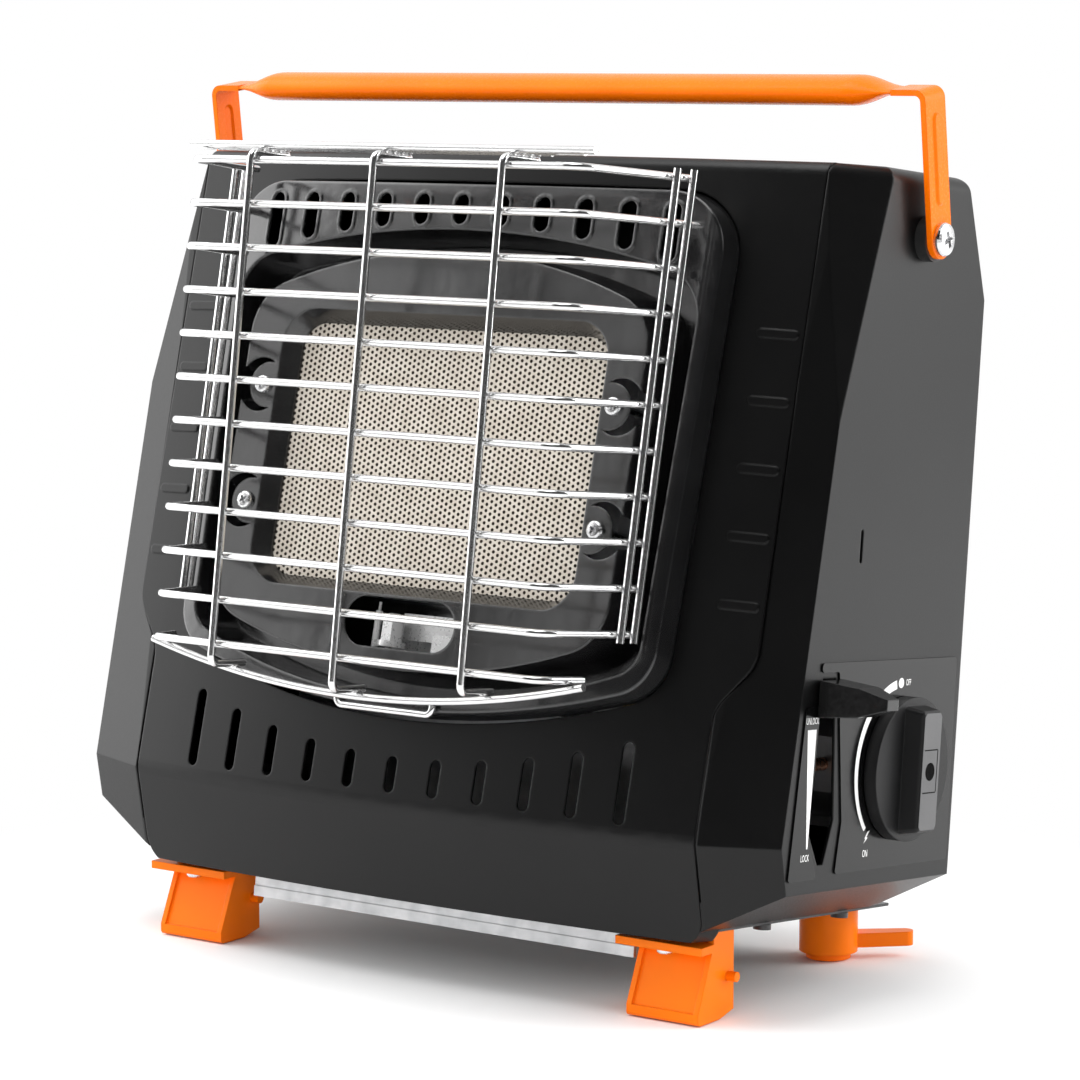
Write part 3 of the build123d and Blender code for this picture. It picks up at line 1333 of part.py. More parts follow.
def make_handle():
    middle = HANDLE_RISE - HANDLE_THICK / 2
    grip = extrude(grip_section(-GRIP_HALF, GRIP_WIDTH, GRIP_TALL), 2 * GRIP_HALF)
    wall = 2 * GRIP_WALL
    grip -= extrude(grip_section(-GRIP_HALF, GRIP_WIDTH - wall, GRIP_TALL - wall), 2 * GRIP_HALF)
    grip -= span(-GRIP_HALF, GRIP_HALF, middle - GRIP_TALL, middle, -GRIP_SLIT / 2, GRIP_SLIT / 2)
    for part in both_sides(handle_leg() + grip_end()):
        grip += part
    return handle_frame() * grip


def make_handle_washers():
    washer = rod_x(WASHER_R, SIDE, handle_inner(), HANDLE_Y, HANDLE_Z)
    washer -= rod_x(PIVOT_R + PIVOT_FIT, SIDE, handle_inner(), HANDLE_Y, HANDLE_Z)
    return both_sides(washer)


def make_pivot_screws():
    out = handle_inner() + HANDLE_THICK + WIRE_GAP
    start = SIDE - CHEEK_WALL - PIVOT_NUT
    screw = rod_x(PIVOT_R, start, out, HANDLE_Y, HANDLE_Z)
    screw += rod_x(PIVOT_HEAD_R, out, out + PIVOT_HEAD, HANDLE_Y, HANDLE_Z)
    screw += rod_x(PIVOT_HEAD_R, start, SIDE - CHEEK_WALL, HANDLE_Y, HANDLE_Z)
    return both_sides(screw)


# Wire guard

def guard_y(z):
    """The guard's front plane."""
    depth = GUARD_PITCH * (GUARD_WIRES - 1)
    share = (GUARD_TOP_Z - z) / depth
    return GUARD_TOP_Y + (GUARD_LOW_Y - GUARD_TOP_Y) * share


def guard_level(index):
    """Height of a front wire, counted from the top."""
    return GUARD_TOP_Z - index * GUARD_PITCH


def guard_end(index, side):
    """Where a front wire's return ends, beside the panel."""
    z = guard_level(index)
    share = index / (GUARD_WIRES - 1)
    out = GUARD_END_OUT_TOP + (GUARD_END_OUT_LOW - GUARD_END_OUT_TOP) * share
    return side * GUARD_END_X, front_y(z) - out, z


def guard_stop(index, side):
    """Where a front wire is cut: the lowest one stops short on its return."""
    corner, end = Vector(*guard_corner(index, side)), Vector(*guard_end(index, side))
    return corner + (end - corner) * (GUARD_SHORT_SHARE if index == GUARD_WIRES - 1 else 1)


def guard_corner(index, side):
    """Where a front wire turns back."""
    z = guard_level(index)
    return side * GUARD_HALF, guard_y(z), z


def guard_tail(side, radius):
    """The long tail of one front wire that enters the reflector's side wall."""
    end = Vector(*guard_end(GUARD_TAIL_INDEX, side))
    corner = Vector(*guard_corner(GUARD_TAIL_INDEX, side))
    return straight_wire(end, end + (end - corner).normalized() * GUARD_TAIL, radius)


def make_front_wires():
    wires = []
    for index in range(GUARD_WIRES):
        ends = [guard_stop(index, -1), guard_corner(index, -1)]
        ends += [guard_corner(index, 1), guard_stop(index, 1)]
        front = wire(*ends, bend=GUARD_BEND)
        if index == GUARD_TAIL_INDEX:
            front = front + guard_tail(-1, WIRE_R) + guard_tail(1, WIRE_R)
        wires.append(front)
    return wires


def guard_arch(x):
    """Height of the arched bottom wire."""
    radius = (GUARD_ARCH_HALF**2 + GUARD_ARCH_SAG**2) / (2 * GUARD_ARCH_SAG)
    return GUARD_ARCH_Z + radius - sqrt(radius**2 - x * x)


def make_upright_wires():
    gap = 2 * WIRE_R + WIRE_GAP
    top = guard_level(0) + gap
    wires = []
    for x in (-GUARD_UPRIGHT_X, 0, GUARD_UPRIGHT_X):
        low = guard_arch(x) + gap
        front_top, front_low = guard_y(top) - gap, guard_y(low) - gap
        points = [(x, front_top + GUARD_HOOK, top), (x, front_top, top), (x, front_low, low)]
        foot = (x, front_low + GUARD_FOOT, low)
        wires.append(wire(*points, foot, bend=GUARD_HOOK_BEND))
    for share in GUARD_SIDE_SHARES:
        wires += both_sides(side_upright(share, gap + GUARD_SIDE_SLACK))
    return wires


def side_upright(share, gap):
    """An upright wire on the returns at one share of their length."""
    last = GUARD_WIRES - 2
    ends = []
    for index, extra in ((0, WIRE_R * 2), (last, -WIRE_R * 2)):
        corner, end = Vector(*guard_corner(index, 1)), Vector(*guard_end(index, 1))
        along = (end - corner).normalized()
        aside = Vector(along.Y, -along.X, 0) * gap
        ends.append(corner + (end - corner) * share + aside + Vector(0, 0, extra))
    return straight_wire(ends[0], ends[1])


def make_top_wires():
    z = guard_level(0) + 2 * (2 * WIRE_R + WIRE_GAP)
    wires = []
    for index, (left, right) in enumerate(zip(GUARD_TOP_LEFTS, GUARD_TOP_RIGHTS)):
        y = guard_y(z) + GUARD_HOOK_BEND + index * GUARD_TOP_PITCH
        wires.append(rod_x(WIRE_R, left, right, y, z))
    return wires


def make_bottom_wire():
    y = guard_y(GUARD_ARCH_Z) + GUARD_FOOT - 2 * (2 * WIRE_R + WIRE_GAP)
    high = guard_arch(GUARD_ARCH_HALF)
    path = ThreePointArc((-GUARD_ARCH_HALF, y, high), (0, y, GUARD_ARCH_Z), (GUARD_ARCH_HALF, y, high))
    return sweep(Plane(origin=path @ 0, z_dir=path % 0) * Circle(WIRE_R), path=path)


def make_guard_clip():
    out = TRAY_CROWN + CLIP_R + WIRE_GAP
    top = CLIP_HEIGHT + CLIP_LEG
    corners = [(-CLIP_HALF, top, out), (-CLIP_HALF, CLIP_HEIGHT, out), (CLIP_HALF, CLIP_HEIGHT, out)]
    corners.append((CLIP_HALF, top, out))
    path = FilletPolyline(*[FACE.from_local_coords(corner) for corner in corners], radius=2 * CLIP_R)
    return sweep(Plane(origin=path @ 0, z_dir=path % 0) * Circle(CLIP_R), path=path)


# Assembly

def tilted_pieces():
    """Every piece drawn in the body frame, by node name."""
    left_cheek, right_cheek = make_cheeks()
    return {
        "front_panel": make_front_panel(),
        "left_cheek": left_cheek,
        "right_cheek": right_cheek,
        "rear_cover": make_rear_cover(),
        "rear_door": make_rear_door(),
        "door_hinge_pin": make_hinge_pin(),
        "base_plate": make_base_plate(),
        "reflector": make_reflector(),
        "burner_frame": make_burner_frame(),
        "ceramic_plate": make_ceramic_plate(),
        "burner_box": make_burner_box(),
        "burner_screws": make_burner_screws(),
        "pilot_bracket": make_pilot_bracket(),
        "pilot_burner": make_pilot_burner(),
        "spark_electrode": make_spark_electrode(),
        "thermocouple": make_thermocouple(),
        "mixing_tube": make_mixing_tube(),
        "injector": make_injector(),
        "gas_pipe": make_gas_pipe(),
        "regulator": make_regulator(),
        "igniter": make_igniter(),
        "valve_shaft": make_valve_shaft(),
        "control_knob": make_knob(),
        "control_plate": make_control_plate(),
        "lock_plate": make_lock_plate(),
        "lock_lever": make_lock_lever(),
        "gas_cartridge": make_cartridge(),
        "cartridge_cradle": make_cradle(),
        "heat_shield": make_heat_shield(),
        "tip_over_switch": make_tip_switch(),
        "case_screws": make_case_screws(),
        "handle": make_handle(),
        "handle_washers": make_handle_washers(),
        "handle_screws": make_pivot_screws(),
        "guard_front_wires": make_front_wires(),
        "guard_upright_wires": make_upright_wires(),
        "guard_top_wires": make_top_wires(),
        "guard_bottom_wire": make_bottom_wire(),
        "guard_clip": make_guard_clip(),
    }


def level_pieces():
    """Every piece drawn level with the floor, by node name."""
    return {
        "front_foot_left": make_front_foot(-FOOT_SPACING / 2),
        "front_foot_right": make_front_foot(FOOT_SPACING / 2),
        "foot_screws": make_foot_screws(),
        "twist_foot_left": make_twist_foot(-1),
        "twist_foot_right": make_twist_foot(1),
        "twist_foot_studs": make_twist_studs(),
    }


def solids_of(piece):
    """The solids of a piece that is one shape or a list of shapes."""
    shapes = piece if isinstance(piece, list) else [piece]
    return [solid for shape in shapes for solid in shape.solids()]


def main():
    os.makedirs("parts", exist_ok=True)
    nodes = {name: [TILT * solid for solid in solids_of(piece)] for name, piece in tilted_pieces().items()}
    nodes.update({name: solids_of(piece) for name, piece in level_pieces().items()})
    box = Compound([solid for solids in nodes.values() for solid in solids]).bounding_box()
    stand = Pos(-box.center().X, -box.center().Y, -box.min.Z)
    for name, solids in nodes.items():
        placed = [stand * solid for solid in solids]
        shape = placed[0] if len(placed) == 1 else Compound(placed)
        export_step(shape, os.path.join("parts", name + ".step"))
    spots = {
        "handle": (0, HANDLE_Y, HANDLE_Z),
        "knob": (SIDE, KNOB_Y, KNOB_Z),
        "door": (0, *hinge_point()),
        "lever": (SIDE, GATE_FRONT, GATE_TOP),
    }
    for name, spot in spots.items():
        print(name, "axis point", (stand * TILT * Pos(*spot)).position)
    print("twist foot axis", (stand * Pos(TWIST_X, TWIST_Y, 0)).position, "shift", stand.position)


main()
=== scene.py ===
"""Looks of a portable radiant gas heater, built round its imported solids.

Lengths are in millimetres in the casing's own upright frame, x to the right, y to the back and z up. at()
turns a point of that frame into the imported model's frame, in metres.
"""
import json
from math import atan2, cos, pi, radians, sin

import bmesh
import bpy
from mathutils import Matrix, Vector


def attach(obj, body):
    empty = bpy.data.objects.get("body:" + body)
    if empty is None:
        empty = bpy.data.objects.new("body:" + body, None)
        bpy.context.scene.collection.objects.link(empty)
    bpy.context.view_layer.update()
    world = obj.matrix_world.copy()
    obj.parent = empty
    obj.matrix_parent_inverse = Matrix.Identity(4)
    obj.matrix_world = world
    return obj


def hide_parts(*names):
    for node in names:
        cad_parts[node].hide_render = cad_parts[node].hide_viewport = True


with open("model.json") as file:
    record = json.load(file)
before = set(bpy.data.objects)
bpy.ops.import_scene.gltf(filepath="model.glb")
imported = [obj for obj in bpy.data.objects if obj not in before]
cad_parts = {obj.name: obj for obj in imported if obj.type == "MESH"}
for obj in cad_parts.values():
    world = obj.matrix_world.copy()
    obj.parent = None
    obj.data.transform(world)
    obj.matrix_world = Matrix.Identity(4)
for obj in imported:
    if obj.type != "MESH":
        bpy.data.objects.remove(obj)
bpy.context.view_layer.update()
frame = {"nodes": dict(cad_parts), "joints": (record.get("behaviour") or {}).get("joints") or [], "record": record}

MM = 0.001
WHITE = (1.0, 1.0, 1.0, 1.0)

# Casing, in the frame that the solids are drawn in
BODY_TILT = radians(6.0)
FACE_LEAN = radians(8.8)
KNEE_REACH = 17.4
KNEE_HEIGHT = 28.6
SIDE = 145.0
PIVOT = Vector((0.0, 67.0, 228.0))

# Camera, from the fit to the photograph
CAMERA_SPOT = Vector((768.6, -1007.5, 280.55))
CAMERA_YAW = radians(35.37)
CAMERA_PITCH = radians(7.29)
CAMERA_LENS = 126.96
SENSOR = 36.0

# Ceramic tile
TILE_HALF_X = 66.0
TILE_HALF_H = 46.0
TILE_MIDDLE = 118.2
TILE_FRONT = 0.5
TILE_THICK = 13.0
HOLE_PITCH_X = 1.862
HOLE_PITCH_H = 2.09
HOLE_COLUMNS = 70
HOLE_ROWS = 43
HOLE_RADIUS = 0.62
HOLE_DEPTH = 1.8

# Front rail of the base, drawn level with the floor
RAIL_BACK = 15.0
RAIL_TOP = -2.9

# Screws: head radius and height, shank radius and length
BURNER_SCREW = (3.1, 2.0, 1.5, 20.0)
PIVOT_SCREW = (5.6, 2.6, 3.0, 8.0)
FOOT_SCREW = (3.0, 1.6, 1.6, 2.6)
SCREW_STEPS = 32

# Screw head: its crown and cross recess, as shares of its radius and height
HEAD_CROWN = ((1.0, 0.45), (0.93, 0.72), (0.72, 0.92), (0.4, 1.0))
CROSS_LONG = 0.62
CROSS_WIDE = 0.14
CROSS_FLOOR = 0.25
CROSS_OPEN = 1.5
CROSS_TAPER = 0.55

# Where the screws sit and how far their crosses are turned
BURNER_SCREW_X = 73.6
BURNER_SCREW_RISE = 20.4
BURNER_CROWN = 8.0
BURNER_SCREW_TURN = 0.4
PIVOT_HEAD_X = 151.05
PIVOT_SCREW_TURN = 0.35
FOOT_SCREW_XS = (-102.5, 98.5)
FOOT_SCREW_Y = 7.3
FOOT_FLANGE_LOW = -9.3
FOOT_SCREW_TURN = 0.7

# Side label: its skin, the print on it, and the marks as (y, z) points
SKIN = 0.6
PRINT = 0.06
SPOT_STEPS = 24
KNOB_Y = 71.3
KNOB_Z = 52.8
ARC_START = radians(11)
ARC_END = radians(133)
ARC_INNER = (27.0, 27.5)
ARC_OUTER = (29.9, 29.1)
ARC_STEPS = 40
OFF_DOT = (68.7, 81.2)
OFF_DOT_RADIUS = 1.7
BOLT = ((53.9, 33.0), (52.0, 30.9), (52.8, 30.7), (50.4, 28.9), (51.6, 30.3), (50.9, 30.5), (52.6, 32.6))
WEDGE = ((10.6, 67.8), (16.0, 67.8), (14.9, 29.4), (14.1, 29.4))

# Words: the text, where it starts (y, z) and the height of its capitals
WORDS = (
    ("OFF", 71.8, 80.3, 2.1),
    ("ON", 50.0, 24.4, 2.4),
    ("UNLOCK", 9.4, 69.6, 2.1),
    ("LOCK", 11.0, 25.4, 2.2),
)
WORD_NARROW = 0.62
CAPITAL_SHARE = 0.7
LETTER_STEPS = 3

# Knob: the face of its bar, and the marks on it from the knob's middle
KNOB_FACE = 12.2
BAR_HALF_Y = 5.6
BAR_HALF_Z = 19.4
BAR_CORNER = 1.2
BAR_DOT_Y = -0.4
BAR_DOT_RADIUS = 3.0
LINE = 0.35
LINE_LEFT = -4.6
LINE_RIGHT = 3.9
LINE_LOW = -6.8
LINE_HIGH = 7.0

# Stage, in metres
FLOOR_RADIUS = 4.0
FLOOR_SEGMENTS = 96
FLOOR_DROP = 0.0004
FLOOR_COLOUR = (0.93, 0.93, 0.93, 1.0)
FLOOR_ROUGH = 0.9
FADE_START = 0.10
FADE_END = 0.30
AIM = Vector((0, 0, 0.14))
ROOM_AZIMUTH = radians(35.0)
ROOM_RISE = radians(12.0)
ROOM_EDGE = 0.40
ROOM_END = -0.10
FILL_LIGHT = 0.85

# Lamps: name, azimuth, height, distance, width, height of the panel, watts
LAMPS = (
    ("left_softbox", -78, 0.80, 1.5, 1.5, 1.9, 22),
    ("right_softbox", 128, 0.70, 1.5, 0.9, 1.2, 18),
    ("top_softbox", -20, 1.6, 0.3, 1.2, 1.0, 14),
    ("left_window", -43, 0.80, 1.5, 0.26, 1.0, 1.1),
    ("right_window", -30, 0.80, 1.5, 0.26, 1.0, 0.9),
)

# Surfaces: the middle of a noise's values, the depth of fine relief in metres, and shared colours
NOISE_LOW = 0.3
NOISE_HIGH = 0.7
FINE_DETAIL = 3.0
RELIEF = 0.0002
EDGE_SAMPLES = 4
ZINC_DARK = (0.52, 0.53, 0.54)
ZINC_PALE = (0.70, 0.70, 0.71)
ZINC_ROUGH = (0.30, 0.45)
ZINC_BROAD = 140.0
ZINC_GRAIN = 500.0
ZINC_STRENGTH = 0.05
# Painted shade for the base outside its front rail, where it lies in shadow under the casing
BASE_PAINTED_SHADE = (0.014, 0.014, 0.0145)


def tilted(point):
    """A point of the upright frame after the casing's tilt."""
    x, y, z = point
    return Vector((x, cos(BODY_TILT) * y + sin(BODY_TILT) * z, cos(BODY_TILT) * z - sin(BODY_TILT) * y))


JOINTS = {joint["name"]: joint for joint in frame["joints"]}
SHIFT = Vector(JOINTS["handle_fold"]["pos_m"]) / MM - tilted(PIVOT)


def at(x, y, z):
    """A point of the upright frame in the model's frame, in metres."""
    return (tilted((x, y, z)) + SHIFT) * MM


def level(x, y, z):
    """A point drawn level with the floor in the model's frame, in metres."""
    return (Vector((x, y, z)) + SHIFT) * MM


def on_face(x, height, out):
    """A point of the leaning front plane, out in front of it, in the model's frame, in metres."""
    y = height * sin(FACE_LEAN) - out * cos(FACE_LEAN) - KNEE_REACH
    z = height * cos(FACE_LEAN) + out * sin(FACE_LEAN) + KNEE_HEIGHT
    return at(x, y, z)


def on_side(y, z, out):
    """A point of the right cheek's flat side, out from it, in the model's frame, in metres."""
    return at(SIDE + out, y, z)


# Materials

def new_material(name):
    """A material with its tree, its shader and the object's coordinates."""
    material = bpy.data.materials.new(name)
    material.use_nodes = True
    tree = material.node_tree
    shader = tree.nodes["Principled BSDF"]
    coords = tree.nodes.new("ShaderNodeTexCoord").outputs["Object"]
    return material, tree, shader, coords


def noise(tree, coords, scale, detail=2.0):
    """Noise with a scale in cells per metre."""
    node = tree.nodes.new("ShaderNodeTexNoise")
    node.inputs["Scale"].default_value = scale
    node.inputs["Detail"].default_value = detail
    tree.links.new(coords, node.inputs["Vector"])
    return node.outputs["Fac"]


def spread(tree, value, low, high):
    """A noise value spread from low to high."""
    node = tree.nodes.new("ShaderNodeMapRange")
    node.inputs["From Min"].default_value = NOISE_LOW
    node.inputs["From Max"].default_value = NOISE_HIGH
    node.inputs["To Min"].default_value = low
    node.inputs["To Max"].default_value = high
    tree.links.new(value, node.inputs["Value"])
    return node.outputs["Result"]


def blend_colours(tree, value, first, second):
    """Two colours mixed by a value."""
    node = tree.nodes.new("ShaderNodeMix")
    node.data_type = "RGBA"
    node.inputs["A"].default_value = (*first, 1.0)
    node.inputs["B"].default_value = (*second, 1.0)
    tree.links.new(value, node.inputs["Factor"])
    return node.outputs["Result"]


def bump(tree, shader, height, strength, rounding=0.0):
    """Fine relief, over softened edges where a rounding is given."""
    node = tree.nodes.new("ShaderNodeBump")
    node.inputs["Strength"].default_value = strength
    node.inputs["Distance"].default_value = RELIEF
    tree.links.new(height, node.inputs["Height"])
    if rounding:
        edge = tree.nodes.new("ShaderNodeBevel")
        edge.samples = EDGE_SAMPLES
        edge.inputs["Radius"].default_value = rounding
        tree.links.new(edge.outputs["Normal"], node.inputs["Normal"])
    tree.links.new(node.outputs["Normal"], shader.inputs["Normal"])


def finish_material(name, first, second, rough, grain, strength, broad=25.0, rounding=0.0, metal=0.0,
                    specular=0.5):
    """A surface whose colour varies in broad cells, and its roughness and relief in fine ones."""
    material, tree, shader, coords = new_material(name)
    wide = noise(tree, coords, broad)
    fine = noise(tree, coords, grain, FINE_DETAIL)
    mixed = blend_colours(tree, spread(tree, wide, 0.0, 1.0), first, second)
    tree.links.new(mixed, shader.inputs["Base Color"])
    tree.links.new(spread(tree, fine, *rough), shader.inputs["Roughness"])
    shader.inputs["Metallic"].default_value = metal
    shader.inputs["Specular IOR Level"].default_value = specular
    bump(tree, shader, fine, strength, rounding)
    return material


# Each finish: two colours, the roughness from and to, fine cells per metre and the strength of their relief
MATERIALS = {
    "casing_black": finish_material(
        "satin_black_paint", (0.0022, 0.0022, 0.0023), (0.0034, 0.0034, 0.0035), (0.30, 0.38), 1500.0, 0.08,
        rounding=0.0009, specular=0.26),
    "enamel_black": finish_material(
        "gloss_black_enamel", (0.007, 0.007, 0.0072), (0.011, 0.011, 0.0114), (0.13, 0.17), 55.0, 0.9,
        broad=60.0, rounding=0.0012, specular=1.0),
    "orange_paint": finish_material(
        "orange_paint", (0.95, 0.160, 0.0), (1.0, 0.180, 0.001), (0.22, 0.30), 900.0, 0.04,
        rounding=0.0006, specular=0.12),
    "orange_plastic": finish_material(
        "orange_plastic", (0.95, 0.175, 0.0), (1.0, 0.200, 0.001), (0.30, 0.40), 1800.0, 0.08,
        rounding=0.0006, specular=0.15),
    "chrome_wire": finish_material(
        "chrome_wire", (0.70, 0.70, 0.70), (0.82, 0.82, 0.82), (0.13, 0.20), 1200.0, 0.03, metal=0.94),
    "ceramic": finish_material(
        "cream_ceramic", (0.58, 0.525, 0.45), (0.67, 0.62, 0.545), (0.80, 0.95), 2600.0, 0.30, broad=180.0,
        specular=0.2),
    "bright_steel": finish_material(
        "plated_steel", (0.62, 0.62, 0.63), (0.75, 0.75, 0.75), (0.18, 0.30), 1500.0, 0.05, metal=1.0),
    "galvanised": finish_material(
        "galvanised_sheet", ZINC_DARK, ZINC_PALE, ZINC_ROUGH, ZINC_GRAIN, ZINC_STRENGTH, broad=ZINC_BROAD,
        metal=1.0),
    "brass_fittings": finish_material(
        "turned_brass", (0.62, 0.45, 0.18), (0.74, 0.56, 0.26), (0.20, 0.34), 900.0, 0.05, metal=1.0),
    "copper_pipe": finish_material(
        "drawn_copper", (0.66, 0.32, 0.19), (0.76, 0.40, 0.25), (0.22, 0.36), 700.0, 0.05, metal=1.0),
    "die_cast": finish_material(
        "die_cast_zinc", (0.42, 0.42, 0.43), (0.55, 0.55, 0.56), (0.38, 0.52), 1100.0, 0.15, metal=1.0),
    "black_plastic": finish_material(
        "moulded_black_plastic", (0.010, 0.010, 0.010), (0.016, 0.016, 0.016), (0.45, 0.60), 2200.0, 0.15),
    "knob_black": finish_material(
        "knob_plastic", (0.006, 0.006, 0.0063), (0.010, 0.010, 0.0104), (0.34, 0.44), 2400.0, 0.12,
        rounding=0.0008, specular=0.22),
    "lever_black": finish_material(
        "lever_plastic", (0.006, 0.006, 0.006), (0.010, 0.010, 0.010), (0.10, 0.18), 700.0, 0.03,
        rounding=0.0006),
    "label_black": finish_material(
        "label_film", (0.0022, 0.0022, 0.0023), (0.0034, 0.0034, 0.0035), (0.14, 0.20), 500.0, 0.02,
        specular=0.3),
    "cartridge_paint": finish_material(
        "pale_can_paint", (0.66, 0.66, 0.65), (0.74, 0.74, 0.73), (0.22, 0.30), 800.0, 0.04),
}
PRINT_WHITE = finish_material(
    "white_print", (0.80, 0.80, 0.79), (0.90, 0.90, 0.89), (0.35, 0.45), 1500.0, 0.04)
# Painted sheen: grey standing in for the light that the knob bar's black face reflects
BAR_PAINTED_SHEEN = finish_material(
    "painted_sheen_bar_face", (0.085, 0.085, 0.087), (0.115, 0.115, 0.117), (0.34, 0.46), 2000.0, 0.08, specular=0.3)
# Painted shade: a dark brown, well below the ceramic's own colour, on the walls and floors of the tile's holes
HOLE_PAINTED_SHADE = finish_material(
    "painted_hole_shade", (0.085, 0.068, 0.050), (0.125, 0.102, 0.078), (0.85, 0.95), 2000.0, 0.10)
DOT_BLACK = finish_material(
    "dot_black", (0.001, 0.001, 0.001), (0.003, 0.003, 0.003), (0.70, 0.85), 1500.0, 0.05, specular=0.05)
PILOT_ZINC = finish_material(
    "bright_zinc", (0.74, 0.74, 0.74), (0.90, 0.90, 0.90), (0.24, 0.36), 900.0, 0.04, metal=0.45)
BLACK_ZINC = finish_material(
    "black_zinc", (0.020, 0.020, 0.021), (0.032, 0.032, 0.033), (0.30, 0.42), 900.0, 0.06, specular=0.6)


def compare(tree, value, limit):
    """One where a value is below a limit, else zero."""
    node = tree.nodes.new("ShaderNodeMath")
    node.operation = "LESS_THAN"
    tree.links.new(value, node.inputs[0])
    node.inputs[1].default_value = limit
    return node.outputs["Value"]


def base_material():
    """Galvanised sheet on the front rail; painted shade, a near-black non-metallic colour, on the tray behind it.
    """
    material, tree, shader, coords = new_material("base_sheet")
    split = tree.nodes.new("ShaderNodeSeparateXYZ")
    tree.links.new(coords, split.inputs["Vector"])
    rail = level(0, RAIL_BACK, RAIL_TOP)
    below = compare(tree, split.outputs["Z"], rail.z)
    ahead = compare(tree, split.outputs["Y"], rail.y)
    both = tree.nodes.new("ShaderNodeMath")
    both.operation = "MULTIPLY"
    tree.links.new(below, both.inputs[0])
    tree.links.new(ahead, both.inputs[1])
    fine = noise(tree, coords, ZINC_GRAIN, FINE_DETAIL)
    broad = spread(tree, noise(tree, coords, ZINC_BROAD), 0.0, 1.0)
    zinc = blend_colours(tree, broad, ZINC_DARK, ZINC_PALE)
    # painted shade off the rail, zinc on it
    coloured = blend_colours(tree, both.outputs["Value"], BASE_PAINTED_SHADE, ZINC_PALE)
    tree.links.new(zinc, coloured.node.inputs["B"])
    tree.links.new(coloured, shader.inputs["Base Color"])
    tree.links.new(both.outputs["Value"], shader.inputs["Metallic"])
    tree.links.new(spread(tree, fine, *ZINC_ROUGH), shader.inputs["Roughness"])
    bump(tree, shader, fine, ZINC_STRENGTH)
    return material


def dress_nodes():
    """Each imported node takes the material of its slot, apart from a few with a finish of their own."""
    # the base's own finish includes painted shade away from its front rail
    own = {"base_plate": base_material(), "case_screws": BLACK_ZINC}
    own.update(dict.fromkeys(("pilot_bracket", "pilot_burner", "spark_electrode"), PILOT_ZINC))
    for part in frame["record"]["subparts"]:
        mesh = frame["nodes"][part["node"]].data
        mesh.materials.clear()
        mesh.materials.append(own.get(part["node"], MATERIALS[part["material_slot"]]))


# Pieces

def make_mesh(name, points, faces):
    """A mesh from points in metres."""
    mesh = bpy.data.meshes.new(name)
    mesh.from_pydata([tuple(point) for point in points], [], faces)
    mesh.update()
    return mesh


def add_piece(name, mesh, materials, body):
    """A piece that rides on a body."""
    piece = bpy.data.objects.new(name, mesh)
    bpy.context.scene.collection.objects.link(piece)
    mesh.materials.clear()
    for material in materials:
        mesh.materials.append(material)
    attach(piece, body)
    return piece


def final_mesh(piece, name):
    """A new mesh of a piece with its modifiers applied; the piece is removed."""
    graph = bpy.context.evaluated_depsgraph_get()
    mesh = bpy.data.meshes.new_from_object(piece.evaluated_get(graph))
    mesh.name = name
    bpy.data.objects.remove(piece)
    return mesh


def outward(mesh):
    """Faces of a closed mesh turned to the outside."""
    shape = bmesh.new()
    shape.from_mesh(mesh)
    bmesh.ops.recalc_face_normals(shape, faces=shape.faces)
    shape.to_mesh(mesh)
    shape.free()
    return mesh


